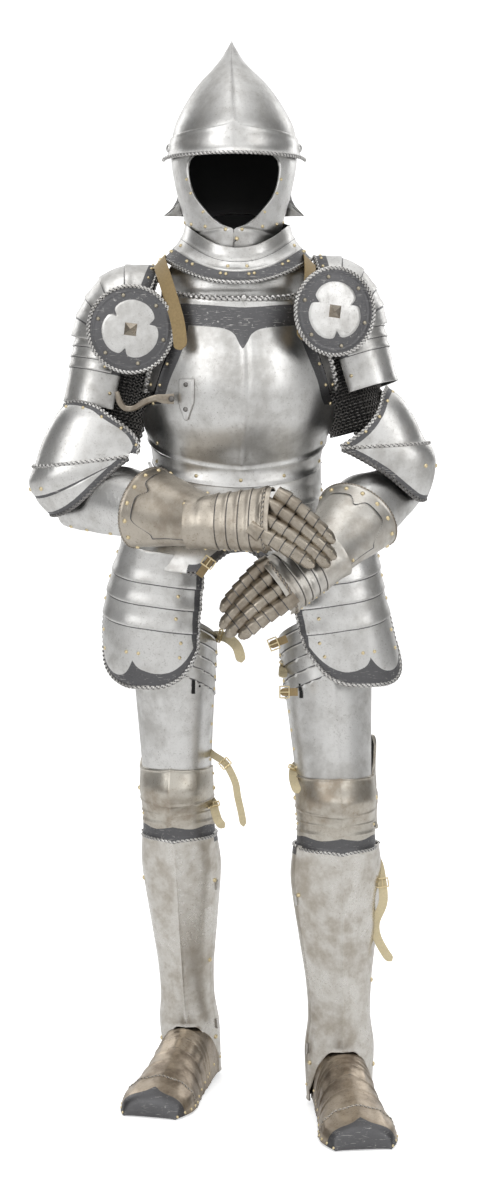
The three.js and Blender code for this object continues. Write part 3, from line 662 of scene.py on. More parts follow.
class ARMOUR_OT_finishes(bpy.types.Operator):
    """Makes the steels, brass, leathers and iron"""

    bl_idname = "armour.finishes"
    bl_label = "Finishes"

    def execute(self, context):
        look = context.scene.armour
        group = worn_steel_group()
        bright, patina = tuple(look.bright), tuple(look.patina)
        steel("bright_plate", group, bright, (0.34, 0.325, 0.30), 0.55, look.polish, 0.2)
        steel("old_plate", group, patina, (0.24, 0.195, 0.145), 0.6, look.polish + 0.04, 0.22)
        steel("pale_plate", group, (0.60, 0.58, 0.54), (0.33, 0.29, 0.24), 0.6, look.polish + 0.02, 0.2)
        steel("finger_plate", group, (0.44, 0.395, 0.33), (0.17, 0.135, 0.1), 0.7, look.polish - 0.04, 0.2)
        steel("knee_plate", group, (0.56, 0.53, 0.47), (0.26, 0.2, 0.14), 0.7, look.polish + 0.02, 0.16)
        steel("shin_plate", group, (0.66, 0.64, 0.60), (0.34, 0.29, 0.225), 0.7, look.polish - 0.04, 0.2)
        steel("foot_plate", group, (0.42, 0.355, 0.28), (0.14, 0.105, 0.075), 0.8, look.polish + 0.02, 0.2)
        steel("black_plate", group, (0.17, 0.165, 0.16), (0.06, 0.058, 0.055), 0.8, 0.38, 0.2)
        steel("rope_steel", group, (0.66, 0.65, 0.63), (0.3, 0.28, 0.25), 0.5, 0.34, 0.1)
        steel("dark_rope", group, (0.27, 0.26, 0.25), (0.1, 0.095, 0.09), 0.7, 0.38, 0.1)
        # A near-black matt coat, far darker than the blackened bands. It is partly the blackened steel inside
        # the plates, and mostly painted shade for the insides of plates, for holes and for the space within the
        # mail.
        plain_finish("inner_steel", (0.012, 0.012, 0.012), 0.85, 0.0)
        plain_finish("brass", tuple(look.brass), 0.32, 1.0, 0.05, 400, 0.15)
        plain_finish("dark_brass", (0.42, 0.38, 0.30), 0.36, 1.0, 0.05, 400, 0.2)
        plain_finish("mail_iron", (0.24, 0.23, 0.22), 0.38, 1.0, 0.1, 500, 0.3)
        plain_finish("tan_leather", (0.30, 0.215, 0.10), 0.62, 0.0, 0.35, 260, 0.3)
        plain_finish("buff_leather", (0.62, 0.53, 0.34), 0.75, 0.0, 0.35, 300, 0.18)
        return {"FINISHED"}


# ---------------------------------------------------------------- helmet and collar

SECTION = "s side rise wide front back square keel"
HEAD_FACING = (0, -1, 0)
HEAD = tube((-3, 8, 0), UP, HEAD_FACING, table(
    SECTION,
    (1440, 0, 0, 84, 96, 92, 2.0, 4),
    (1470, 0, 0, 78, 99, 90, 2.0, 8),
    (1503, 0, 0, 84, 106, 96, 2.0, 10),
    (1555, 0, 0, 98, 112, 112, 2.0, 8),
    (1608, 0, 0, 106, 118, 124, 2.0, 6),
    (1653, 0, 0, 101, 112, 124, 1.95, 8),
    (1688, -1, 0, 85, 95, 104, 1.9, 8),
    (1726, -2, 0, 59, 68, 74, 1.85, 7),
    (1764, -4, 0, 23, 33, 36, 1.8, 5),
    (1790, -4, 0, 6, 9, 9, 1.9, 1),
    (1800, -4, 0, 0.4, 0.4, 0.4, 2, 0),
))
BROW_HEIGHT = 1632
NAPE_HEIGHT = 1515
BRIM = tube((-3, 8, 0), UP, HEAD_FACING, table(
    SECTION,
    (1602, 0, 0, 119, 133, 130, 2.0, 4),
    (1608, 0, 0, 113, 126, 128, 2.0, 4),
    (1618, 0, 0, 109, 122, 127, 2.0, 4),
    (1630, 0, 0, 107.5, 120.5, 127, 2.0, 5),
    (1665, 0, 0, 99, 113, 120, 2.0, 6),
))
FACE_OPENING = table(
    "s angle", (1485, 0.8), (1487, 6), (1491, 17), (1499, 25), (1508, 31), (1530, 42), (1552, 46.5), (1576, 47),
    (1590, 45), (1598, 41), (1604, 36),
)
COLLAR_DROP = 45
NAPE_DROP = -26
NECK_ROWS = table(
    SECTION,
    (1436, 0, 0, 127, 142, 123, 2.1, 4),
    (1440, 0, 0, 123, 138, 120, 2.1, 4),
    (1448, 0, 0, 115, 130, 114, 2.1, 4),
    (1460, 0, 0, 105, 122, 108, 2.0, 4),
    (1475, 0, 0, 95, 112, 104, 2.0, 2),
    (1500, 0, 0, 88, 107, 102, 2.0, 1),
)
GORGET = tube((3, 4, 0), UP, HEAD_FACING, table(
    SECTION,
    (1345, 0, 0, 132, 108, 94, 2.2, 3),
    (1376, 0, 0, 130, 112, 96, 2.2, 3),
    (1405, 0, 0, 123, 112, 97, 2.1, 3),
    (1440, 0, 0, 104, 98, 94, 2.1, 3),
    (1465, 0, 0, 92, 92, 88, 2.1, 3),
))


def from_front(angle):
    return np.abs((np.asarray(angle) + 540) % 360 - 180)


def collar_drop(angle):
    deepest = np.where(from_front(angle) < 90, COLLAR_DROP, NAPE_DROP)
    return deepest * (1 - np.abs(sin_deg(angle)) ** 2.1)


NECK = eased(tube((3, 4, 0), UP, HEAD_FACING, NECK_ROWS), collar_drop)


def nape_flare(angle, s):
    """The skull spreads at the nape, most of all at two points behind the ears."""
    point = np.exp(-(((from_front(angle) - 104) / 8) ** 2))
    return (12 + 24 * point) * (np.maximum(0, NAPE_HEIGHT + 24 - s) / 24) ** 1.4


def comb(sheet):
    """The crisp ridge over the skull, front and back."""
    a = from_front(sheet.angle)
    ridge = np.maximum(0, 1 - a / 3) + np.maximum(0, 1 - (180 - a) / 3)
    return 0.5 * ridge * np.clip((1800 - sheet.s) / 60, 0, 1)


class ARMOUR_OT_helmet(bpy.types.Operator):
    """Forges the skull, the brow with its roped brim, and the cheekpieces"""

    bl_idname = "armour.helmet"
    bl_label = "Helmet"

    def execute(self, context):
        f = Forging()
        foot = lambda a: (between(BROW_HEIGHT, NAPE_HEIGHT, (from_front(a) - 92) / 12), 1800)
        skull = Sheet(eased(HEAD, None, nape_flare), (0, 360), foot, 180, 44, ring=True, relief=comb)
        hem = (skull.v < 0.12) & (from_front(skull.angle) < 118)
        hammer(f, skull, "bright_plate", hem=hem)
        p, n = skull.at(1)
        behind = np.abs(from_front(skull.angle[1])) > 112
        rivet_row(f, p[behind], n[behind], 34, 6, 2.4)
        f.finish("helmet_bowl", ["helmet_skull"])

        f = Forging()
        top = lambda a: (1603, 1637 + 12 * (1 - np.abs(a) / 88) + 8 * np.exp(-np.abs(a) / 5))
        roll = lambda sh: 0.7 + 0.9 * np.exp(-((sh.from_high() - 2.0) / 1.6) ** 2)
        brow = Sheet(BRIM, (-88, 88), top, 72, 16, relief=roll)
        hammer(f, brow, "bright_plate")
        rope(f, *brow.edge("low"), 3.2, 7.5, "rope_steel", sunk=0.1)
        for spot in (-1, 1):
            rivets(f, BRIM(spot * 84.0, 1622.0), (spot, -0.2, 0), 6.5, "bright_plate", 16)
        f.finish("helmet_brim", ["helmet_brow"])

        for hand, name in ((RIGHT, "right"), (LEFT, "left")):
            f = Forging()
            ends = lambda a: (between(1443, 1470, np.abs(a) / 88), 1604)

            def sides(v):
                edge = smooth(FACE_OPENING, "angle", between(1448, 1604, v))
                return (-91, -edge) if hand == RIGHT else (edge, 91)

            def lipped(sh):
                inner = sh.from_last() if hand == RIGHT else sh.from_first()
                lip = 1.9 * soft_step(1 - np.minimum(inner, 40) / 5) * soft_step((sh.s - 1480) / 8)
                crease = 1.2 * np.exp(-(((sh.s - 1484 + np.abs(sh.angle) * 0.12) / 2.4) ** 2))
                return lip - crease * (np.abs(sh.angle) > 3)

            cheek = Sheet(HEAD, sides, ends, 48, 90, proud=-0.5, relief=lipped)
            hammer(f, cheek, "bright_plate")
            rivet_row(f, *cheek.at(20), 38, 14, 2.6)
            inner = -6 if hand == RIGHT else 5
            rivets(f, *cheek.at(np.s_[[34, 52, 66], inner]), 2.1)
            if hand == LEFT:
                hook = np.array([(2, 0, 8), (-2, 0, 4), (-3, 0, -4), (1, 0, -9), (5, 0, -6)], float)
                at = HEAD(0.0, 1456.0) + (2, -4, 0)
                bar(f, at + hook, (0, -1, 0), 2.4, 2.4, "dark_rope")
                rivets(f, at + (3, 1, 10), (0, -1, 0), 3.0)
            f.finish(f"cheekpiece_{name}", [f"cheek_{name}"])
        return {"FINISHED"}


class ARMOUR_OT_collar(bpy.types.Operator):
    """Forges the lames of the neck, the dark roped rim and the gorget plate"""

    bl_idname = "armour.collar"
    bl_label = "Collar"

    def execute(self, context):
        f = Forging()
        rim = Sheet(NECK, (0, 360), (1439, 1459), 160, 8, ring=True, proud=0.6)
        light = np.clip((rim.s - 1454) / 4, 0, 1)
        hammer(f, rim, "bright_plate", 1 - light)
        rope(f, *rim.edge("low"), 3.3, 7.5, "rope_steel", closed=True)
        p, n = rim.at(5)
        for middle in (11, 44, 80, 115, 150):
            pairs = np.array([middle - 3, middle + 3, 357 - middle, 363 - middle])
            pick = np.round(pairs / 360 * len(p)).astype(int) % len(p)
            rivets(f, p[pick], n[pick], 2.6)
        f.finish("collar_rim", ["gorget_rim"])

        for name, low, high, proud in (("lower", 1457, 1476, 0.0), ("upper", 1473.5, 1496, -0.8)):
            f = Forging()
            lift = lambda sh: 1.3 * soft_step(1 - sh.from_low() / 7)
            lame = Sheet(NECK, (0, 360), (low, high), 120, 7, ring=True, proud=proud, relief=lift)
            # The lower lame gets a painted shadow line at its top, just below the upper lame that overlaps it.
            hammer(f, lame, "bright_plate", band_of(lame.from_high(), 4) if name == "lower" else 0.0)
            if name == "lower":
                p, n = lame.at(3)
                pick = np.array([3, 23, 38, 60, 82, 97, 117])
                rivets(f, p[pick], n[pick], 2.6)
            f.finish(f"collar_lame_{name}", [f"collar_{name}"])

        f = Forging()
        ends = lambda a: (1350, 1462 - collar_drop(a))

        def stepped(sh):
            line = 1.1 * soft_step((sh.s - 1404) / 3) - 1.1 * soft_step((1384 - sh.s) / 3)
            return line

        plate = Sheet(GORGET, (0, 360), ends, 110, 24, ring=True, relief=stepped)
        hammer(f, plate, "bright_plate")
        f.finish("gorget_front_and_back", ["gorget_plate"])
        return {"FINISHED"}


# ---------------------------------------------------------------- body

CHEST_FACING = (0.07, -1, 0)
CHEST = tube((4, 0, 0), UP, CHEST_FACING, table(
    SECTION,
    (1050, -4, 0, 150, 124, 112, 2.1, 4),
    (1072, -4, 0, 143, 118, 102, 2.1, 5),
    (1092, -3, 0, 141, 117, 98, 2.1, 6),
    (1130, -2, 0, 147, 134, 104, 2.2, 12),
    (1169, 0, 0, 161, 152, 112, 2.2, 14),
    (1220, 1, 0, 164, 162, 120, 2.2, 14),
    (1270, 1, 0, 160, 160, 124, 2.2, 12),
    (1320, 0, 0, 152, 150, 120, 2.2, 6),
    (1352, 0, 0, 146, 138, 114, 2.2, 4),
    (1385, 0, 0, 138, 126, 106, 2.2, 3),
))
FRONT_REACH = table(
    "s angle", (1080, 89.6), (1165, 89.6), (1196, 74), (1215, 62), (1250, 55), (1320, 44), (1380, 47),
)
REAR_REACH = table(
    "s angle", (1080, 89.6), (1165, 89.6), (1200, 72), (1250, 62), (1320, 58), (1380, 52),
)
SKIRT = tube((4, 0, 0), UP, CHEST_FACING, table(
    SECTION,
    (905, -8, 0, 200, 162, 134, 2.2, 3),
    (955, -8, 0, 190, 153, 134, 2.2, 3),
    (1000, -7, 0, 170, 135, 126, 2.2, 3),
    (1035, -6, 0, 152, 121, 117, 2.15, 3),
    (1062, -5, 0, 145, 118, 108, 2.1, 4),
))
SIDE_SEAM = 89.3
NECK_EDGE = 1376
GUSSET_LOW, GUSSET_HIGH = 1218, 1314
BAND_FOOT = table(
    "s height", (0, 1284), (6, 1294), (14, 1309), (30, 1318), (60, 1322), (110, 1326),
)


def waist_edge(angle):
    return between(1090, 1138, (np.abs(angle) / 90) ** 1.6)


def neck_edge(angle):
    return NECK_EDGE - 10 * cos_deg(2 * angle)


def hip_lift(angle):
    return between(0, 40, (np.abs(angle) / 90) ** 1.6)


def body_panel(reach):
    def sides(v):
        edge = np.minimum(SIDE_SEAM, smooth(reach, "angle", between(waist_edge(90), NECK_EDGE, v)))
        return -edge, edge
    return sides


class ARMOUR_OT_cuirass(bpy.types.Operator):
    """Forges the breastplate, backplate, armhole gussets, waist, fauld and culet"""

    bl_idname = "armour.cuirass"
    bl_label = "Cuirass"

    def execute(self, context):
        self.breast()
        self.back()
        for hand, name in ((RIGHT, "right"), (LEFT, "left")):
            self.gusset(hand, name)
        self.waist()
        return {"FINISHED"}

    def breast(self):
        f = Forging()

        def relief(sh):
            ridge = 1.8 * np.maximum(0, 1 - np.abs(sh.angle) / 2.6)
            fade = np.clip((1345 - sh.s) / 60, 0, 1)
            roll = 2.2 * soft_step(1 - sh.from_high() / 6)
            flange = 2.6 * soft_step(1 - sh.from_low() / 7)
            side = 1.6 * soft_step(1 - sh.from_sides() / 5) * (sh.s > 1180)
            step = 0.7 * self.band(sh)
            return ridge * fade + roll + flange + side + step

        plate = Sheet(CHEST, body_panel(FRONT_REACH), lambda a: (waist_edge(a), neck_edge(a)),
                      128, 110, relief=relief)
        hammer(f, plate, "bright_plate", self.band(plate))
        rope(f, *plate.edge("high"), 4.6, 9.5, "rope_steel", sunk=0.1)
        rivets(f, CHEST(0.0, 1369.0) + (0, -6, 0), (0, -1, 0.4), 4.6, "rope_steel", 16)
        for side in (2, -3):
            p, n = plate.at(np.s_[30:100, side])
            rivet_row(f, p, n, 42, 16, 2.6)
        p, n = plate.at(5)
        rivets(f, p[[16, 112]], n[[16, 112]], 2.8)
        f.finish("breast", ["breastplate"])

    @staticmethod
    def band(sheet):
        """The blackened strip under the neck, drawn down to a point, and along the armholes."""
        x = (sheet.base[..., 0] - 12)
        foot = smooth(BAND_FOOT, "height", np.abs(x))
        under = sheet.base[..., 2] - foot
        over = 1360 - 7 * np.exp(-((x / 60) ** 2)) - sheet.base[..., 2]
        strip = np.minimum(under, over)
        step = np.linalg.norm(np.diff(sheet.base, axis=1), axis=-1)
        d = np.concatenate([np.zeros((step.shape[0], 1)), np.cumsum(step, 1)], 1)
        side = np.minimum(d, d[:, -1:] - d)
        armhole = np.minimum(24 - side, sheet.base[..., 2] - 1196)
        armhole = np.minimum(armhole, 1360 - sheet.base[..., 2])
        return np.clip(0.5 + np.maximum(strip, armhole) / 16, 0, 1)

    def back(self):
        f = Forging()

        def relief(sh):
            groove = -1.6 * np.exp(-((sh.angle / 3) ** 2))
            blades = 5.0 * np.exp(-(((np.abs(sh.angle) - 26) / 15) ** 2)) * np.exp(-(((sh.s - 1290) / 42) ** 2))
            roll = 2.0 * soft_step(1 - sh.from_high() / 6)
            return groove + blades + roll + 2.4 * soft_step(1 - sh.from_low() / 7)

        plate = Sheet(rear(CHEST), body_panel(REAR_REACH), lambda a: (waist_edge(a), 1384),
                      110, 90, relief=relief)
        edge = band_of(plate.from_high(), 16) * (plate.from_high() < 40)
        hammer(f, plate, "bright_plate", edge)
        rope(f, *plate.edge("high"), 3.6, 8.0, "rope_steel")
        for side in (2, -3):
            rivet_row(f, *plate.at(np.s_[24:84, side]), 42, 14, 2.6)
        f.finish("back", ["backplate"])

    def gusset(self, hand, name):
        f = Forging()

        def sides(v):
            inner = smooth(FRONT_REACH, "angle", between(GUSSET_LOW, GUSSET_HIGH, v)) + 0.6
            return (-inner - 11.5, -inner) if hand == RIGHT else (inner, inner + 11.5)

        plate = Sheet(CHEST, sides, (GUSSET_LOW, GUSSET_HIGH), 12, 36, proud=1.0)
        hammer(f, plate, "black_plate")
        outer = "first" if hand == RIGHT else "last"
        rope(f, *plate.edge(outer), 6.4, 11.0, "rope_steel", sunk=0.1)
        p, n = plate.at(np.s_[:, 6])
        rivets(f, p[[4, 31]], n[[4, 31]], 2.6)
        f.finish(f"armhole_gusset_{name}", [f"gusset_{name}"])

    def waist(self):
        f = Forging()
        flare = lambda sh: 2.2 * soft_step(1 - sh.from_low() / 8) - 0.4
        belt = Sheet(CHEST, (-89.6, 89.6), lambda a: (1060 + hip_lift(a), 1090 + hip_lift(a)),
                     90, 10, relief=flare)
        hammer(f, belt, "bright_plate")
        rivets(f, *belt.at(np.s_[4, [8, 30, 45, 60, 82]]), 2.7)
        f.finish("waist_hoop", ["waist_plate"])
        f = Forging()
        ends = lambda a: (1023 + 0.6 * hip_lift(a), 1064 + 0.9 * hip_lift(a))
        hoop = Sheet(SKIRT, (-89, 89), ends, 90, 14, relief=lambda sh: 1.8 * soft_step(1 - sh.from_low() / 8))
        hammer(f, hoop, "bright_plate")
        rivets(f, *hoop.at(np.s_[3, [6, 25, 65, 84]]), 2.6)
        f.finish("fauld_hoop_upper", ["fauld_upper"])
        f = Forging()
        arch = lambda a: 44 * soft_step(1 - np.abs(a) / 21)
        ends = lambda a: (918 + arch(a) + 0.7 * hip_lift(a), 1026 + 0.6 * hip_lift(a))
        hoop = Sheet(SKIRT, (-86, 86), ends, 120, 40,
                     relief=lambda sh: 0.4 + 1.6 * soft_step(1 - sh.from_low() / 14)
                     - 1.2 * np.exp(-(((sh.s - 976 - 0.6 * hip_lift(sh.angle)) / 1.6) ** 2)))
        inner = np.abs(hoop.angle[0]) < 24
        hammer(f, hoop, "bright_plate", band_of(hoop.from_low(), 15) * (np.abs(hoop.angle) < 23))
        rope(f, *hoop.at(np.s_[0, inner]), 3.8, 8.0, "dark_rope")
        f.finish("fauld_hoop_lower", ["fauld_lower"])
        f = Forging()
        ends = lambda a: (985, 1063 + 0.9 * hip_lift(a))

        def steps(sh):
            return 1.7 * ((sh.v * 3) % 1 < 0.06) + 1.5 * (1 - (sh.v * 3) % 1) * 0.8

        hoops = Sheet(rear(SKIRT), (-89, 89), ends, 80, 36, relief=steps)
        hammer(f, hoops, "bright_plate", band_of(hoops.from_low(), 12) * (hoops.from_low() < 40))
        rope(f, *hoops.edge("low"), 3.4, 8.0, "rope_steel")
        f.finish("culet_hoops", ["culet"])


# ---------------------------------------------------------------- lance rest

REST_PIN = np.array((-104, -144, 1205.0))


class ARMOUR_OT_lance_rest(bpy.types.Operator):
    """Forges the bracket on the right breast and the arm that folds up about its pin"""

    bl_idname = "armour.lance_rest"
    bl_label = "Lance rest"

    def execute(self, context):
        f = Forging()

        def taper(v):
            half = between(4.6, 0.8, (0.42 - v) / 0.42)
            return -33 - half, -33 + half

        bracket = Sheet(CHEST, taper, (1172, 1236), 10, 30, proud=4.0)
        hammer(f, bracket, "bright_plate", wall=4.0, lining="bright_plate")
        for s in (1228.0, 1188.0):
            rivets(f, CHEST(-33.0, s) + (-1.5, -4, 0), (-0.5, -1, 0), 3.4, "dark_rope", 10)
        f.finish("lance_rest_socket", ["lance_rest_bracket"])
        f = Forging()
        line = table("s x z w", (0, 4, 0, 17), (1, -12, 0, 15), (2, -26, 1, 11), (3, -44, -5, 10),
                     (4, -61, -15, 9), (5, -75, -15, 9), (6, -84, -5, 9.5), (7, -89, 12, 7))
        s = np.linspace(0, 7, 40)
        points = REST_PIN + np.stack([smooth(line, "x", s), 0 * s, smooth(line, "z", s)], -1)
        run = unit(np.gradient(points, axis=0))
        normals = np.array((0, -1, 0)) * np.ones_like(run)
        width = smooth(line, "w", s)
        aside = np.cross(run, normals)
        ring = [(-1, -0.7), (-1, 0.7), (-0.6, 1), (0.6, 1), (1, 0.7), (1, -0.7), (0.6, -1), (-0.6, -1)]
        rows = np.stack([points + aside * (width / 2 * a)[:, None] + normals * 6 * b for a, b in ring], 1)
        f.add(rows, grid_faces(len(s), 8, True), "finger_plate")
        for first in (0, (len(s) - 1) * 8):
            quads = ([0, 1, 2, 3], [0, 3, 4, 7], [4, 5, 6, 7])
            f.add(rows, [[first + i for i in q] for q in quads], "finger_plate")
        rivets(f, REST_PIN + (0, -6, 0), (0, -1, 0), 4.2, "dark_rope", 12)
        f.finish("lance_rest_hook", ["lance_rest_arm"], body="lance_rest")
        return {"FINISHED"}


# ---------------------------------------------------------------- shoulders and arms

ARM_HANDS = (
    dict(
        hand=RIGHT, name="right", pivot=(-176, 6, 1290), cuts=(-20, 4, 24, 42, 60, 78),
        skin="old_plate", lean=-0.12,
        dome=table("s reach half", (-20, 145, 62), (-8, 141, 70), (16, 134, 84), (31, 122, 92),
                   (50, 110, 92), (78, 101, 86)),
        shoulder=(-201, 6, 1352), elbow=(-264, -18, 1046), wrist=(-44, -226, 1008),
        knuckles=(58, -254, 1014), tips=(146, -270, 958), roll=(0.1, -0.9, 0.4),
        besagew=(-171, -120, 1318), notches=(136, 14, 253), point=(-178, -46, 1112),
        couter=table("s reach half", (-60, 104, 76), (0, 112, 76), (30, 124, 75), (52, 136, 74), (69, 141, 74),
                     (82, 147, 75), (96, 158, 76), (106, 172, 76), (118, 169, 76), (132, 160, 76)),
        top=table("s turn", (0, 52), (20, 45), (43, 36), (65, 24), (80, -10), (89, -60)),
        foot=table("s turn", (0, 127), (41, 131), (64, 130), (80, 126), (89, 120)), ridge=97,
    ),
    dict(
        hand=LEFT, name="left", pivot=(164, 6, 1314), cuts=(-14, 6, 25, 43, 60, 78),
        skin="pale_plate", lean=0.4,
        dome=table("s reach half", (-20, 136, 62), (-8, 132, 70), (16, 124, 84), (31, 113, 92),
                   (50, 100, 92), (78, 90, 86)),
        shoulder=(172, 6, 1380), elbow=(262, -18, 1070), wrist=(136, -212, 944),
        knuckles=(62, -244, 904), tips=(-12, -254, 846), roll=(-0.1, -0.9, 0.4),
        besagew=(161, -146, 1346), notches=(153, 20, 276), point=(176, -46, 1124),
        couter=table("s reach half", (20, 118, 76), (47, 130, 75), (67, 132, 75), (82, 138, 75),
                     (93, 154, 76), (105, 160, 76), (120, 164, 76)),
        top=table("s turn", (0, 37), (30, 40), (54, 49), (70, 56), (89, 62)),
        foot=table("s turn", (0, 121), (24, 123), (45, 121), (58, 118), (80, 112), (89, 104)), ridge=87,
    ),
)
SWING = -8
MAIL_ROWS = table(
    SECTION, (0, 0, -4, 44, 44, 56, 2, 0), (70, 0, -6, 42, 40, 76, 2, 0), (140, 0, -10, 40, 36, 76, 2, 0),
    (200, 0, -12, 38, 34, 70, 2, 0), (250, 0, -12, 36, 34, 60, 2, 0),
)
SLEEVE_ROWS = table(
    SECTION,
    (30, 0, 0, 72, 59, 58, 2, 0),
    (80, 0, 0, 64, 58.5, 58, 2, 0),
    (120, 0, 0, 58, 57, 56, 2, 0),
    (175, 0, 0, 56, 56, 54, 2, 0),
)
CUFF_ROWS = table(
    SECTION,
    (-140, 0, 0, 72, 66, 45, 2, 0),
    (-100, 0, 0, 63, 58, 42, 2, 0),
    (-50, 0, 0, 50, 46, 38, 2, 0),
    (-4, 0, 0, 43, 38, 32, 2, 0),
)
HAND_ROWS = table(
    SECTION,
    (-34, 0, 0, 42, 37, 30, 2.2, 0),
    (-16, 0, 0, 41, 36, 30, 2.2, 0),
    (-2, 0, 0, 43, 38, 30, 2.2, 0),
    (40, 0, 0, 47, 34, 26, 2.3, 0),
    (80, 0, 0, 51, 32, 24, 2.4, 0),
    (110, 0, 2, 52, 31, 22, 2.4, 0),
)
SLEEVE_CUTS = (34, 72, 108, 166)


def forearm_rows(hand):
    return table(
        SECTION,
        (-20, -16 * hand, 0, 42, 26, 40, 2, 0),
        (20, -14 * hand, 0, 46, 31, 40, 2, 0),
        (90, 0, 0, 61, 58, 38, 2, 0),
        (180, 0, 0, 50, 46, 38, 2, 0),
    )


def lame_lift(low_cut, lift=1.9, reach=14):
    """A lame rises towards the edge that covers its neighbour."""
    def relief(sh):
        d = sh.from_low() if low_cut else sh.from_high()
        return 0.3 + lift * soft_step(1 - d / reach)
    return relief


class ARMOUR_OT_shoulders(bpy.types.Operator):
    """Forges the pauldrons, their lower lames, the upper cannons and the besagews"""

    bl_idname = "armour.shoulders"
    bl_label = "Shoulders"

    def execute(self, context):
        for arm in ARM_HANDS:
            self.dome(arm)
            self.sleeve(arm)
            self.besagew(arm)
        return {"FINISHED"}

    def dome(self, arm):
        f = Forging()
        surface = fan(arm["pivot"], arm["hand"], 0, arm["dome"])
        cuts = arm["cuts"]
        for k in range(5):
            low, high = cuts[k] - (3 if k else 0), cuts[k + 1]
            lame = Sheet(surface, (-78, 78), (low, high), 60, 14, proud=0.2,
                         relief=lame_lift(False, 2.3, 16))
            # The top lame has a blackened border 19 mm wide along its roped edge. On each lower lame the dark
            # strip is a painted shadow line just below the lame that overlaps it.
            dark = band_of(lame.from_low(), 8.5 if k else 19)
            hammer(f, lame, "bright_plate", dark)
            if k:
                for side in (3, -4):
                    rivets(f, *lame.at(np.s_[9, side]), 2.5)
            else:
                rope(f, *lame.edge("low"), 3.2, 7.5, "rope_steel")
                p, n = lame.at(3)
                rivet_row(f, p, n, 24, 12, 2.3)
        f.finish(f"pauldron_dome_{arm['name']}", [f"{arm['name']}_pauldron_1"])

    def sleeve(self, arm):
        axis = np.subtract(arm["elbow"], arm["shoulder"])
        surface = tube(arm["shoulder"], axis, (arm["hand"], 0, 0), SLEEVE_ROWS)
        names = (f"{arm['name']}_pauldron_2", f"{arm['name']}_pauldron_3", f"{arm['name']}_upper_cannon")
        looks = ("pauldron_lame_upper", "pauldron_lame_lower", "upper_cannon")
        for k, (node, look) in enumerate(zip(names, looks)):
            f = Forging()
            low, high = SLEEVE_CUTS[k] - (4 if k else 0), SLEEVE_CUTS[k + 1]
            halves = [(low, high)] if k == 0 else [(low, (low + high) / 2 + 2), ((low + high) / 2 - 2, high)]
            if k == 2:
                halves = [(low, high)]
            for a, b in halves:
                before = (124 if k == 2 else 106) * arm["hand"]
                sides = (min(before, -96 * arm["hand"]), max(before, -96 * arm["hand"]))
                lame = Sheet(surface, sides, (a, b), 72, 10, proud=0.1,
                             relief=lame_lift(False, 2.2 if k < 2 else 0.8, 12))
                # A painted shadow line along the top of each lame, just below the plate that overlaps it.
                hammer(f, lame, "bright_plate", band_of(lame.from_low(), 6))
                for side in (4, -5):
                    rivets(f, *lame.at(np.s_[6, side]), 2.6)
            f.finish(f"{look}_{arm['name']}", [node])

    def besagew(self, arm):
        f = Forging()
        centre = np.array(arm["besagew"], float)
        profile = table("s depth", (0, -7), (30, -6.6), (55, -5), (64, -3.4), (69, -3.2), (72, -1.5))
        radii = np.concatenate([np.linspace(0.5, 40, 20), np.linspace(42, 72, 20)])
        turn = np.linspace(0, 360, 145)[:-1]
        r, a = np.meshgrid(radii, turn, indexing="ij")
        gap = np.min([np.abs((a - notch + 180) % 360 - 180) for notch in arm["notches"]], 0)
        panel = 48 - 11 * np.exp(-((gap / 6) ** 2)) - 5 * np.exp(-((gap / 24) ** 2))
        inside = panel - r
        depth = smooth(profile, "depth", r) - 0.9 * soft_step(inside / 2.5)
        depth = depth - 1.2 * np.exp(-(((r - 62) / 1.6) ** 2))
        turn_in = np.array((math.sqrt(1 - arm["lean"] ** 2), arm["lean"], 0))
        spread = lambda reach, angle: (np.multiply(reach, cos_deg(angle))[..., None] * turn_in
                                       + np.multiply(reach, sin_deg(angle))[..., None] * UP)
        face = centre + spread(r, a) + depth[..., None] * (0, 1, 0)
        dark = np.clip(0.5 - inside / 16, 0, 1)
        f.add(face, grid_faces(len(radii), 144, True), "bright_plate", dark)
        back = face[:, :] + (0, 2.2, 0)
        f.add(back, grid_faces(len(radii), 144, True)[:, ::-1], "inner_steel")
        rim = np.stack([face[-1], back[-1]])
        f.add(rim, grid_faces(2, 144, True), "bright_plate")
        f.add(np.stack([face[0], face[0] * 0 + centre + (0, -8, 0)]), grid_faces(2, 144, True), "bright_plate")
        circle = centre + spread(70.2, turn) + (0, -3, 0)
        rope(f, circle, np.array((0, -1.0, 0)) * np.ones_like(circle), 3.4, 7.0, "rope_steel",
             closed=True, sunk=0.0)
        spots = np.array([30, 90, 150, 210, 270, 330]) + 12
        at = centre + spread(56.5, spots) + (0, -5.4, 0)
        rivets(f, at, np.array((0, -1.0, 0)) * np.ones_like(at), 2.9, "dark_brass")
        square = centre + spread(16, np.array([38, 128, 218, 308])) + (0, -6.5, 0)
        tip = centre + (0, -19, 0)
        for i in range(4):
            a, b = square[i], square[(i + 1) % 4]
            f.add(np.array([a, b, tip, tip]), [(0, 1, 2, 2)], "finger_plate")
        f.finish(f"besagew_{arm['name']}", [f"{arm['name']}_besagew"])


RING_SIDES = 6


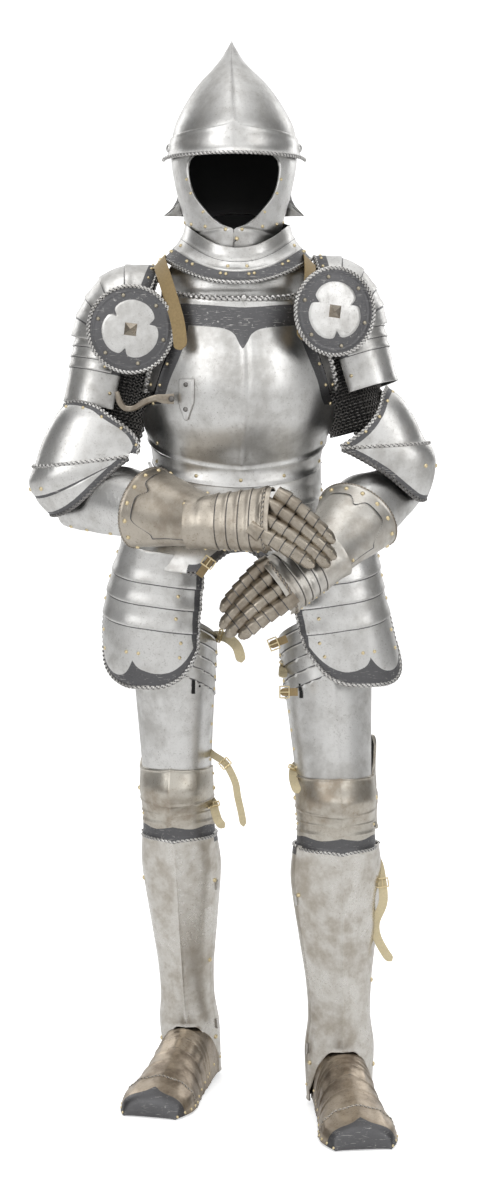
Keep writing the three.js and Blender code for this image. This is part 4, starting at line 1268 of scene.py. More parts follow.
class ARMOUR_OT_mail(bpy.types.Operator):
    """Links the rings of the mail sleeves"""

    bl_idname = "armour.mail"
    bl_label = "Mail sleeves"

    def execute(self, context):
        look = context.scene.armour
        for arm in ARM_HANDS:
            f = Forging()
            axis = np.subtract(arm["elbow"], arm["shoulder"])
            surface = tube(arm["shoulder"], axis, (arm["hand"], 0, 0), MAIL_ROWS)
            # A near-black sheet inside the rings stands in for the shade within the sleeve, where no arm is:
            # painted shade.
            lining = Sheet(surface, (0, 360), (14, 228), 40, 10, ring=True, proud=-2.2)
            hammer(f, lining, "inner_steel", wall=1.0)
            pitch = look.ring_pitch / MM
            rows = int(212 / (pitch * 0.78))
            turn = np.linspace(0, 2 * np.pi, RING_SIDES, endpoint=False)
            for j in range(rows):
                s = 15 + 212 * (j + 0.5) / rows
                around = int(2 * np.pi * 47 / pitch)
                angle = (np.arange(around) + 0.5 * (j % 2)) * 360 / around
                here = surface(angle, s)
                along = unit(surface(angle, s + 1) - here)
                aside = unit(surface(angle + 1, s) - here)
                out = np.cross(aside, along)
                tilt = math.radians(32 if j % 2 else -32)
                up = along * math.cos(tilt) + out * math.sin(tilt)
                face = np.cross(aside, up)
                big, small = pitch * 0.56, pitch * 0.115
                c, d = np.cos(turn)[None, :, None], np.sin(turn)[None, :, None]
                spoke = c * aside[:, None] + d * up[:, None]
                tubes = []
                for q in (90, 210, 330):
                    k = math.radians(q)
                    tubes.append(here[:, None] + spoke * (big + small * math.cos(k))
                                 + face[:, None] * small * math.sin(k) + out[:, None] * 0.9)
                rings = np.stack(tubes, 1)
                n = len(angle)
                base = grid_faces(3, RING_SIDES, True, True)
                faces = (base[None] + np.arange(n)[:, None, None] * 3 * RING_SIDES).reshape(-1, 4)
                f.add(rings, faces, "mail_iron")
            f.finish(f"mail_{arm['name']}", [f"{arm['name']}_mail_sleeve"], corner=80)
        return {"FINISHED"}


class ARMOUR_OT_elbows(bpy.types.Operator):
    """Forges the couters with their roped edges, and the vambraces"""

    bl_idname = "armour.elbows"
    bl_label = "Elbows and forearms"

    def execute(self, context):
        for arm in ARM_HANDS:
            self.couter(arm)
            self.vambrace(arm)
        return {"FINISHED"}

    def couter(self, arm):
        f = Forging()
        surface = fan(arm["point"], arm["hand"], SWING, arm["couter"])
        front = lambda a: np.maximum(0, -a)
        low = lambda a: smooth(arm["top"], "turn", front(a))
        high = lambda a: smooth(arm["foot"], "turn", np.abs(a))
        middle = lambda a: np.minimum(arm["ridge"], high(a) - 9)

        def bowl(sh):
            return 0.6 * soft_step(1 - sh.from_low() / 6)

        upper = Sheet(surface, (-88.5, 82), lambda a: (low(a), middle(a) + 2), 92, 48, relief=bowl)
        hammer(f, upper, "bright_plate", band_of(upper.from_low(), 11) * (upper.from_low() < 30))
        rope(f, *upper.edge("low"), 3.4, 8.0, "rope_steel")
        rivet_row(f, *upper.at(5), 36, 14, 2.4)

        def crease(sh):
            rib = np.exp(-(((sh.v - 0.55) / 0.05) ** 2)) * soft_step((80 + sh.angle) / 20)
            return 1.6 * cos_deg(sh.angle) + 0.2 - 1.5 * rib * (arm["hand"] == RIGHT)

        wing = Sheet(surface, (-88.5, 82), lambda a: (middle(a), high(a)), 110, 40, relief=crease)
        # On the right couter a dark line is painted in the crease groove: painted shade. The band along the
        # wing's roped edge is blackened steel.
        seam = np.clip(0.5 + (0.9 - np.abs(wing.v - 0.55) * 34) / 4, 0, 1) * (arm["hand"] == RIGHT)
        hammer(f, wing, "bright_plate", np.maximum(band_of(wing.from_high(), 10), seam))
        rope(f, *wing.edge("high"), 3.6, 8.0, "dark_rope")
        rope(f, wing.face[0] + wing.normal[0] * 0.4, wing.normal[0], 3.4, 8.0, "rope_steel", sunk=0.1)
        rivets(f, *wing.at(np.s_[16, [40, 58, 100]]), 3.0)
        f.finish(f"elbow_{arm['name']}", [f"{arm['name']}_couter"])

    def vambrace(self, arm):
        f = Forging()
        forearm = np.subtract(arm["wrist"], arm["elbow"])
        surface = tube(arm["elbow"], forearm, arm["roll"], forearm_rows(arm["hand"]))

        def lines(sh):
            step = 0.9 * soft_step((52 - sh.s) / 2) + 0.9 * soft_step((40 - sh.s) / 2)
            return step + 0.5 * np.maximum(0, 1 - np.abs(from_front(sh.angle)) / 5)

        plate = Sheet(surface, (0, 360), (2, 158), 90, 40, ring=True, relief=lines)
        hammer(f, plate, "bright_plate")
        p, n = plate.at(np.s_[:, 24])
        rivets(f, p[[6, 16, 30]], n[[6, 16, 30]], 2.8)
        f.finish(f"forearm_{arm['name']}", [f"{arm['name']}_vambrace"])


class ARMOUR_OT_gauntlets(bpy.types.Operator):
    """Forges the cuffs, the lames of the hands and the scaled fingers"""

    bl_idname = "armour.gauntlets"
    bl_label = "Gauntlets"

    def execute(self, context):
        for arm in ARM_HANDS:
            self.cuff(arm)
            self.hand(arm)
            self.fingers(arm)
        return {"FINISHED"}

    def cuff(self, arm):
        f = Forging()
        forearm = np.subtract(arm["wrist"], arm["elbow"])
        surface = tube(arm["wrist"], forearm, arm["roll"], CUFF_ROWS)

        def panel(sh):
            a = from_front(sh.angle)
            return 1.8 * soft_step(lobes(sh, a) / 3) + 0.8 * soft_step(1 - sh.from_low() / 5)

        def lobes(sh, a):
            start = -112 + 15 * np.exp(-((a / 8) ** 2)) + 34 * soft_step((a - 44) / 30)
            return np.minimum(sh.s - start, (80 - a) * 0.9)

        cuff = Sheet(surface, (0, 360), (-135, -4), 180, 84, ring=True, relief=panel)
        # A dark line painted at the foot of the raised panel's step: painted shade in the crease.
        line = np.abs(lobes(cuff, from_front(cuff.angle)) + 0.4)
        hammer(f, cuff, arm["skin"], np.clip(0.5 + (1.3 - line) / 6, 0, 1))
        bead, turned = cuff.edge("low")
        rope(f, bead, turned, 1.9, 6.0, "finger_plate", closed=True)
        p, n = along_line(*cuff.at(7), 29, True)
        rivets(f, p, n, 3.2)
        p, n = cuff.at(-14)
        rivets(f, p[[0, 72, 144]], n[[0, 72, 144]], 2.6)
        f.finish(f"cuff_{arm['name']}", [f"{arm['name']}_gauntlet_cuff"])

    def hand(self, arm):
        f = Forging()
        axis = np.subtract(arm["knuckles"], arm["wrist"])
        surface = tube(arm["wrist"], axis, arm["roll"], HAND_ROWS)
        stop = np.linalg.norm(axis) - 2
        cuts = np.linspace(-2, stop - 13, 6)
        for k in range(5):
            start = cuts[k] - (30 if k == 0 else 0)
            lame = Sheet(surface, (-118, 118), (start, cuts[k + 1] + 3.5), 60, 9, proud=0.2,
                         relief=lame_lift(False, 1.8, 9))
            # From the second lame on, a painted shadow line at the foot of each lame, just below the lame that
            # overlaps it.
            hammer(f, lame, arm["skin"], band_of(lame.from_low(), 5.4) if k else 0.0)
            for side in (4, -5):
                rivets(f, *lame.at(np.s_[5, side]), 2.0)

        def knuckle(sh):
            hump = 3.2 * np.exp(-(((sh.s - stop + 8) / 5) ** 2))
            bumps = 0.75 + 0.25 * np.cos(np.radians(sh.angle) * 4 * 1.9)
            return 0.4 + hump * bumps

        ridge = Sheet(surface, (-100, 100), (stop - 17, stop + 4), 96, 16, relief=knuckle)
        # The ridge gets a painted shadow line at its foot, under the last lame.
        hammer(f, ridge, arm["skin"], band_of(ridge.from_low(), 3))
        line, n = ridge.at(9)
        rope(f, line, n, 3.0, 8.5, "finger_plate", sunk=0.3)
        f.finish(f"hand_lames_{arm['name']}", [f"{arm['name']}_hand_lames"])

    def fingers(self, arm):
        """Each finger is a chain of small overlapping scales that curves down at its tip."""
        f = Forging()
        start, tips = np.array(arm["knuckles"], float), np.array(arm["tips"], float)
        along = unit(tips - start)
        roll = np.array(arm["roll"], float)
        front = unit(roll - along * roll.dot(along))
        across = np.cross(along, front)
        length = np.linalg.norm(tips - start)
        for k, (reach, shift) in enumerate(((0.86, -37), (1.0, -12.5), (0.99, 12.5), (0.82, 36))):
            steps = 6
            edges = np.linspace(-16 - 4 * (k % 2), (length + 6) * reach, steps + 1)
            for j in range(steps):
                low, high = edges[j] - 1.0, edges[j + 1] + 3.5
                s = np.linspace(low, high, 8)[:, None]
                t = np.clip(s / (length + 6), 0, 1.1)
                a = np.linspace(-98, 98, 17)[None, :]
                spread = 1 - 0.30 * t
                wide = 12.6 * (1 - 0.25 * t)
                deep = 12.0 * (1 - 0.28 * t)
                lift = 2.6 * soft_step((s - low) / (high - low)) - 0.8
                last = soft_step((t - reach + 0.06) / 0.1) if j == steps - 1 else 0 * t
                height = 15 - 26 * t ** 2.4
                side = shift * spread + (wide + lift) * (1 - 0.35 * last) * sin_deg(a)
                ridge = 1.4 * np.maximum(0, 1 - np.abs(a) / 30)
                up = height + (deep + lift + ridge) * (1 - 0.45 * last) * cos_deg(a)
                p = start + s[..., None] * along + up[..., None] * front + side[..., None] * across
                n = grid_normals(p, False)
                if (n[4, 8] * front).sum() < 0:
                    n = -n
                inner = p - n * 1.1
                # A painted shadow line at the foot of each scale, just below the scale that overlaps it.
                dark = np.clip(0.5 + (6.0 - (s - low)) / 8, 0, 1) * np.ones_like(a) * (j > 0)
                f.add(p, grid_faces(8, 17), "finger_plate", dark)
                f.add(inner, grid_faces(8, 17)[:, ::-1], "inner_steel")
                ring = ALL_ROUND
                edge = [np.concatenate([q[i] for i in ring]) for q in (p, inner)]
                f.add(np.stack(edge), grid_faces(2, len(edge[0]), True), "finger_plate")
                if j == steps - 1:
                    rivets(f, p[5, 8], n[5, 8], 2.0, "dark_brass", 6)
            tip_s = edges[-1] + 2.0
            t = tip_s / (length + 6)
            turn = np.linspace(0, 2 * np.pi, 12, endpoint=False)
            centre = start + along * tip_s + front * (15 - 26 * t ** 2.4) + across * shift * (1 - 0.30 * t)
            w, d = 12.6 * (1 - 0.25 * t) * 0.66, 12.0 * (1 - 0.28 * t) * 0.55
            oval = np.cos(turn)[:, None] * across * w + np.sin(turn)[:, None] * front * d
            caps = [centre + along * 5 * h + oval * r
                    for r, h in ((1.0, 0.0), (0.86, 0.6), (0.5, 0.95), (0.05, 1.05))]
            f.add(np.stack(caps), grid_faces(4, 12, True), "finger_plate")
        f.finish(f"fingers_{arm['name']}", [f"{arm['name']}_finger_plates"])


# ---------------------------------------------------------------- tassets

TASSET_PLANS = (
    dict(
        hand=RIGHT, name="right", start=(-130, -38, 0), facing=(-0.3, -1, 0), sides=(-78, 62),
        rows=table(SECTION, (729, 12, 0, 66, 94, 60, 2.4, 0), (744, 8, 0, 82, 95, 60, 2.4, 0),
                   (770, 4, 0, 90, 96, 60, 2.4, 0), (830, 3, 0, 93, 96, 60, 2.4, 0),
                   (900, 12, 0, 90, 96, 60, 2.4, 0), (968, 26, 0, 82, 96, 60, 2.4, 0)),
        cuts=(731, 832, 870, 906, 958),
    ),
    dict(
        hand=LEFT, name="left", start=(162, -62, 0), facing=(0.26, -1, 0), sides=(-62, 78),
        rows=table(SECTION, (729, 28, 0, 68, 90, 60, 2.4, 0), (744, 28, 0, 82, 91, 60, 2.4, 0),
                   (770, 24, 0, 86, 92, 60, 2.4, 0), (830, 8, 0, 88, 92, 60, 2.4, 0),
                   (900, -8, 0, 88, 90, 60, 2.4, 0), (968, -16, 0, 84, 84, 60, 2.4, 0)),
        cuts=(736, 832, 874, 908, 944),
    ),
)


class ARMOUR_OT_tassets(bpy.types.Operator):
    """Forges the lames that hang before the thighs"""

    bl_idname = "armour.tassets"
    bl_label = "Tassets"

    def execute(self, context):
        for plan in TASSET_PLANS:
            surface = tube(plan["start"], UP, plan["facing"], plan["rows"])
            cuts = plan["cuts"]
            first, last = plan["sides"]
            slope = lambda angle: plan["hand"] * ((angle - (first + last) / 2) / ((last - first) / 2))
            tilt = lambda angle: 19 * slope(angle) + 5 * slope(angle) ** 2
            for k, node in enumerate(("3", "2", "1")):
                f = Forging()
                if k == 0:
                    self.lowest(f, surface, (first, last), cuts[0], cuts[1] + 6, tilt)
                else:
                    for a, b in ([(cuts[1], cuts[2] + 6)] if k == 1 else
                                 [(cuts[2], cuts[3] + 6), (cuts[3], cuts[4])]):
                        tilted = lambda angle, a=a, b=b: (a + tilt(angle), b + tilt(angle))
                        lame = Sheet(surface, (first, last), tilted, 60, 12, proud=0.2,
                                     relief=lame_lift(True, 2.0, 24))
                        inner = "last" if plan["hand"] == RIGHT else "first"
                        reach = lame.from_last() if inner == "last" else lame.from_first()
                        # A painted shadow line at the top of each lame, just below the lame that overlaps it.
                        # The band along the roped inner edge is blackened steel.
                        seam = band_of(lame.from_high(), 8.6) * (b < cuts[4])
                        hammer(f, lame, "bright_plate", np.maximum(band_of(reach, 15), seam))
                        rope(f, *lame.edge(inner), 3.4, 8.0, "rope_steel")
                        side = -14 if plan["hand"] == RIGHT else 13
                        for at in (side, 5 if side < 0 else -6):
                            rivets(f, *lame.at(np.s_[6, at]), 2.7)
                f.finish(f"tasset_{('lower', 'middle', 'upper')[k]}_{plan['name']}",
                         [f"{plan['name']}_tasset_{node}"])
        return {"FINISHED"}

    def lowest(self, f, surface, sides, low, high, tilt):
        first, last = sides
        middle = (first + last) / 2

        def ends(a):
            corner = np.abs(a - middle) / ((last - first) / 2)
            return low + 62 * corner ** 3.4, high + tilt(a)

        plate = Sheet(surface, (first, last), ends, 96, 56, relief=lambda sh: 1.4 * soft_step(
            1 - np.minimum(sh.from_low(), sh.from_sides() + 2) / 4))
        cusp = 26 * np.exp(-np.abs(plate.angle - middle) / 7)
        edge = np.minimum(plate.from_low() - cusp - 6, plate.from_sides())
        # The cusped border is blackened steel. The strip at the top is a painted shadow line below the middle
        # lame.
        dark = np.maximum(band_of(edge, 15), band_of(plate.from_high(), 8.6))
        hammer(f, plate, "bright_plate", dark)
        outline = np.concatenate([plate.face[::-1, 0][4:], plate.face[0, 1:], plate.face[1:, -1][:-4]])
        n = np.concatenate([plate.normal[::-1, 0][4:], plate.normal[0, 1:], plate.normal[1:, -1][:-4]])
        rope(f, outline, n, 3.8, 8.5, "rope_steel")
        rivets(f, plate.face[[40, 40, 30, 30, 24, 24], [16, 80, 44, 52, 17, 79]],
               plate.normal[[40, 40, 30, 30, 24, 24], [16, 80, 44, 52, 17, 79]], 2.6)


# ---------------------------------------------------------------- legs and feet

LEGS = (
    dict(hand=RIGHT, name="right", facing=(-0.12, -1, 0), toe=(-0.28, -1, 0), heel=(-68, 170, 0),
         hip=(-108, 4), knee=(-102, 40), ankle=(-84, 116), bulk=1.0, calf=1.03,
         wing=5, slot=36),
    dict(hand=LEFT, name="left", facing=(0.1, -1, 0), toe=(0.12, -1, 0), heel=(172, 4, 0),
         hip=(146, -24), knee=(167, -64), ankle=(176, -46), bulk=1.07, calf=1.08,
         wing=16, slot=-46),
)
KNEE_TOP, KNEE_MIDDLE, KNEE_BOTTOM, KNEE_RIM = 576, 540, 503, 455
HIP_HEIGHT, ANKLE_HEIGHT = 880, 120
THIGH_ROWS = table(
    SECTION,
    (540, 0, 0, 59, 66, 60, 2.1, 2),
    (580, 0, 0, 59, 66, 62, 2.1, 4),
    (680, 0, 0, 65, 70, 66, 2.1, 5),
    (740, 0, 0, 69, 74, 70, 2.1, 5),
    (860, 0, 0, 77, 80, 76, 2.1, 4),
)
KNEE_ROWS = table(
    SECTION,
    (445, 0, 0, 62, 68, 60, 2, 2),
    (480, 0, 0, 61, 68, 60, 2, 2),
    (503, 0, 0, 60, 70, 58, 2, 3),
    (520, 0, 0, 61, 76, 58, 2, 5),
    (540, 0, 2, 62, 79, 58, 2, 6),
    (566, 0, 0, 61, 72, 60, 2, 4),
    (577, 0, 0, 61, 68, 60, 2, 4),
)
SHIN_ROWS = table(
    SECTION,
    (8, 0, -18, 48, 40, 50, 2, 0),
    (60, 0, -12, 50, 40, 50, 2, 0),
    (110, 0, -4, 51, 42, 48, 2, 2),
    (160, 0, 0, 46, 42, 44, 1.9, 4),
    (220, 0, 0, 48, 46, 50, 1.85, 7),
    (300, 0, -4, 57, 54, 60, 1.8, 8),
    (400, 0, -6, 67, 60, 70, 1.85, 8),
    (455, 0, -2, 63, 61, 64, 1.95, 5),
)
FOOT_ROWS = table(
    SECTION,
    (30, 0, 0, 46, 122, 10, 3.0, 2),
    (66, 0, 0, 48, 108, 10, 3.0, 3),
    (110, 0, 0, 50, 92, 10, 2.7, 4),
    (160, 0, 0, 54, 71, 10, 2.4, 4),
    (210, 0, 0, 61, 54, 10, 2.3, 3),
    (245, 0, 0, 62, 44, 10, 2.5, 2),
    (270, 0, 0, 55, 35, 10, 2.6, 1),
    (282, 0, 0, 49, 24, 10, 2.6, 0),
    (288, 0, 0, 45, 1, 10, 2.6, 0),
)


def leg_tube(leg, rows):
    """Sections at heights, their centre running from hip to knee to ankle."""
    front = unit((*leg["facing"][:2], 0))
    across = np.cross(UP, front)
    s = rows["s"]
    high = s > KNEE_MIDDLE
    low_at = np.where(high, KNEE_MIDDLE, ANKLE_HEIGHT)
    high_at = np.where(high, HIP_HEIGHT, KNEE_MIDDLE)
    t = ((s - low_at) / (high_at - low_at))[:, None]
    a = np.where(high[:, None], leg["knee"], leg["ankle"])
    b = np.where(high[:, None], leg["hip"], leg["knee"])
    centre = np.concatenate([a + (b - a) * t, 0 * t], 1)
    moved = dict(rows, wide=rows["wide"] * leg["bulk"], side=rows["side"] + centre @ across,
                 rise=rows["rise"] + centre @ front)
    return tube((0, 0, 0), UP, leg["facing"], moved)


def turned(leg, first, last):
    return (-last, -first) if leg["hand"] == RIGHT else (first, last)


class ARMOUR_OT_legs(bpy.types.Operator):
    """Forges the cuisses, knee plates with their wings, knee lames and greaves"""

    bl_idname = "armour.legs"
    bl_label = "Legs"

    def execute(self, context):
        for leg in LEGS:
            self.cuisse(leg)
            self.knee(leg)
            self.greaves(leg)
        return {"FINISHED"}

    def cuisse(self, leg):
        f = Forging()
        hand = leg["hand"]

        def relief(sh):
            inner = -hand * sh.angle
            slant = (sh.s - 742) + 0.55 * (inner - 20)
            steps = np.where(slant > 0, 2.4 * (1 - (slant / 23) % 1), 0)
            ridge = 1.5 * np.maximum(0, 1 - np.abs(sh.angle) / 2.5)
            roll = 1.4 * soft_step(1 - sh.from_sides() / 4)
            return steps + ridge * (slant < 0) + roll

        thigh = leg_tube(leg, THIGH_ROWS)
        ends = lambda a: (KNEE_TOP - 6, 852 - 0.6 * np.clip(-hand * a - 10, 0, 80))
        plate = Sheet(thigh, turned(leg, -95, 130), ends, 96, 110, relief=relief)
        slant = (plate.s - 742) + 0.55 * (-hand * plate.angle - 20)
        seam = np.abs((slant % 23) - 1.2)
        lines = np.where(slant > -4, np.clip(0.5 + (1.5 - seam) / 5, 0, 1), 0)
        hammer(f, plate, "bright_plate", lines)
        # The slots and the hole beside them are near-black bars and a near-black head on the plate: painted
        # shade standing in for the openings.
        for s in (716, 728):
            at = thigh(leg["slot"], float(s))
            out = unit((at - thigh(leg["slot"] + 180.0, float(s))) * (1, 1, 0))
            slot = np.array([at + out * 1.2 + (0, 0, h) for h in (-6.0, 0.0, 6.0)])
            bar(f, slot, out, 5.5, 2.0, "inner_steel")
        hole = thigh(leg["slot"] - hand * 11.0, 722.0)
        rivets(f, hole, hole - thigh(leg["slot"] + 180.0, 722.0), 1.8, "inner_steel", 8)
        inner = 4 if hand == LEFT else -5
        rivet_row(f, *plate.at(np.s_[6:70, inner]), 35, 6, 2.6)
        for k in range(4):
            row = 76 + 10 * k
            rivets(f, *plate.at(np.s_[row, inner]), 2.8)
        f.finish(f"thigh_{leg['name']}", [f"{leg['name']}_cuisse"])

    def knee(self, leg):
        hand = leg["hand"]
        surface = leg_tube(leg, KNEE_ROWS)
        outward = unit(np.cross(UP, (*leg["facing"][:2], 0))) * hand
        wing = lambda a: soft_step((hand * np.asarray(a) - 84) / 40)
        winged = lambda a, s: surface(a, s) + outward * leg["wing"] * wing(a)[..., None]
        f = Forging()

        def ends(a):
            middle = np.exp(-np.abs(a) / 9)
            return (KNEE_BOTTOM - 3 - 24 * wing(a) - 6 * middle,
                    KNEE_TOP + 3.8 * leg["wing"] * wing(a) + 4 * middle)

        def relief(sh):
            out = wing(sh.angle)
            keel = 0.6 * np.maximum(0, 1 - np.abs(sh.angle) / 4)
            fall = 6 * (1 - np.cos(np.radians(sh.angle)))
            pinch = 2.6 * np.exp(-(((sh.s - 517 - fall) / 2.0) ** 2)) * (1 - out)
            fluted = -2.4 * out * np.exp(-(((sh.v - 0.5) / 0.05) ** 2))
            roll = 1.0 * soft_step(1 - np.minimum(sh.from_low(), sh.from_high()) / 4)
            return 1.7 + keel + pinch * 0.5 + fluted + roll

        angles = turned(leg, -100, 126)
        plate = Sheet(winged, angles, ends, 120, 60, relief=relief)
        hammer(f, plate, "knee_plate")
        inner = 5 if hand == LEFT else -6
        outer = -24 if hand == LEFT else 23
        for column in (inner, outer):
            rivets(f, *plate.at(np.s_[30, column]), 3.4)
        rivets(f, *plate.at(np.s_[[8, 50], inner]), 2.3)
        f.finish(f"knee_{leg['name']}", [f"{leg['name']}_poleyn"])

        f = Forging()
        span = turned(leg, -96, 80)
        upper = Sheet(surface, span, (482, 506), 90, 10,
                      relief=lambda sh: 0.2 + 1.4 * soft_step(1 - sh.from_low() / 7))
        # A painted shadow line at the top, just below the knee plate that overlaps it.
        hammer(f, upper, "knee_plate", band_of(upper.from_high(), 5))
        cusp = lambda a: 4 * np.exp(-np.abs(a) / 10)
        lower = Sheet(surface, span, lambda a: (KNEE_RIM - cusp(a), 487 + 0 * a), 90, 14,
                      relief=lambda sh: 0.6 + 2.0 * soft_step(1 - sh.from_low() / 9))
        worn = 21 + 2 * cos_deg(lower.angle * 6) + 5 * np.exp(-np.abs(lower.angle) / 7)
        hammer(f, lower, "knee_plate", band_of(lower.from_low(), worn))
        rope(f, *lower.edge("low"), 3.2, 7.5, "rope_steel")
        for at in (4, -5):
            rivets(f, *upper.at(np.s_[5, at]), 2.4)
        f.finish(f"knee_lame_look_{leg['name']}", [f"{leg['name']}_knee_lame"])

    def greaves(self, leg):
        surface = leg_tube(leg, dict(SHIN_ROWS, wide=SHIN_ROWS["wide"] * leg["calf"]))
        f = Forging()

        def shin(sh):
            keel = 0.8 * np.maximum(0, 1 - np.abs(sh.angle) / 3)
            foot = 1.6 * soft_step(1 - sh.from_low() / 5)
            seam = 0.9 * soft_step(1 - sh.from_sides() / 6)
            return keel + foot + seam

        foot = lambda a: (106 - 82 * soft_step((np.abs(a) - 16) / 62), KNEE_RIM + 4)
        plate = Sheet(surface, turned(leg, -70, 89), foot, 84, 110, relief=shin)
        hammer(f, plate, "shin_plate")
        for at, rows in ((3, (12, 88)), (-4, (12, 50, 88))):
            for row in rows:
                p, n = plate.at(np.s_[row, at])
                rivets(f, p, n, 3.4, "brass", 10)
        self.hinges(f, plate, 0 if leg["hand"] == LEFT else -1)
        f.finish(f"shin_{leg['name']}", [f"{leg['name']}_greave_front"])
        f = Forging()
        back = Sheet(rear(surface), turned(leg, -91, 110), (10, KNEE_RIM + 3), 72, 100,
                     relief=lambda sh: 0.8 * soft_step(1 - sh.from_sides() / 5)
                     + 1.2 * soft_step(1 - sh.from_low() / 5))
        hammer(f, back, "shin_plate", band_of(back.from_high(), 15))
        rope(f, *back.edge("high"), 2.6, 7.5, "rope_steel")
        p, n = back.at(6)
        rivet_row(f, p, n, 22, 10, 2.3)
        f.finish(f"calf_{leg['name']}", [f"{leg['name']}_greave_back"])

    def hinges(self, f, plate, side):
        for row in (20, 86):
            p, n = plate.at(np.s_[row, side])
            up = unit(plate.face[row + 2, side] - p)
            line = np.array([p + up * h + n * 1.2 for h in (-9, -4.5, 0, 4.5, 9)])
            bar(f, line, n, 5.5, 4.0, "rope_steel")


class ARMOUR_OT_sabatons(bpy.types.Operator):
    """Forges the lames of the feet and the blackened toe caps"""

    bl_idname = "armour.sabatons"
    bl_label = "Sabatons"

    def execute(self, context):
        for leg in LEGS:
            foot = tube(leg["heel"], leg["toe"], UP, FOOT_ROWS)
            f = Forging()
            cuts = (34, 96, 108, 120, 148, 178, 207)
            for k in range(6):
                start = cuts[k] - (0 if k == 0 else 3)
                lame = Sheet(foot, (-88, 88), (start, cuts[k + 1] + 1), 64, 10, proud=0.1,
                             relief=self.flutes(k))
                # A painted shadow line at the toe end of each lame, where the next lame overlaps it.
                hammer(f, lame, "foot_plate", band_of(lame.from_high(), 6.4) * (k < 5))
                for side in (3, -4):
                    rivets(f, *lame.at(np.s_[5, side]), 2.2)
            f.finish(f"foot_{leg['name']}", [f"{leg['name']}_sabaton"])
            f = Forging()
            cap = Sheet(foot, (-88, 88), (204, 287.8), 72, 44, relief=self.cap)
            middle = np.exp(-np.abs(cap.angle) / 7) * 14
            dark = np.clip(0.5 + (cap.s - 268 + middle) / 16, 0, 1)
            hammer(f, cap, "foot_plate", dark)
            ridge = cap.at(10)
            rope(f, *ridge, 2.4, 7.0, "old_plate", sunk=0.2)
            for side in (0, -1):
                column = 2 if side == 0 else -3
                rivet_row(f, *cap.at(np.s_[:, column]), 18, 6, 2.2)
            f.finish(f"toe_{leg['name']}", [f"{leg['name']}_toe_cap"])
        return {"FINISHED"}

    @staticmethod
    def flutes(k):
        def relief(sh):
            lift = 0.3 + 1.5 * soft_step(1 - sh.from_low() / 8)
            if k in (0, 3):
                lift = lift + 0.8 * np.cos(np.radians(sh.angle) * 14) * (np.abs(sh.angle) < 70) * (k == 3)
            return lift
        return relief

    @staticmethod
    def cap(sh):
        flute = 1.0 * np.cos(np.radians(sh.angle) * 12) * np.exp(-(((sh.s - 232) / 20) ** 2))
        return 0.8 + flute * (np.abs(sh.angle) < 70) + 1.0 * soft_step(1 - sh.from_sides() / 4)


# ---------------------------------------------------------------- straps


def draped_line(*stations):
    """A smooth line through a few points, with 12 steps between each two."""
    rows = table("s x y z", *[(i, *p) for i, p in enumerate(stations)])
    s = np.linspace(0, len(stations) - 1, 12 * (len(stations) - 1) + 1)
    return np.stack([smooth(rows, k, s) for k in "xyz"], -1)


STRAP_THICKNESS = 2.2
SHOULDER_STRAP_WIDTH = 26
TASSET_STRAP_WIDTH = 13


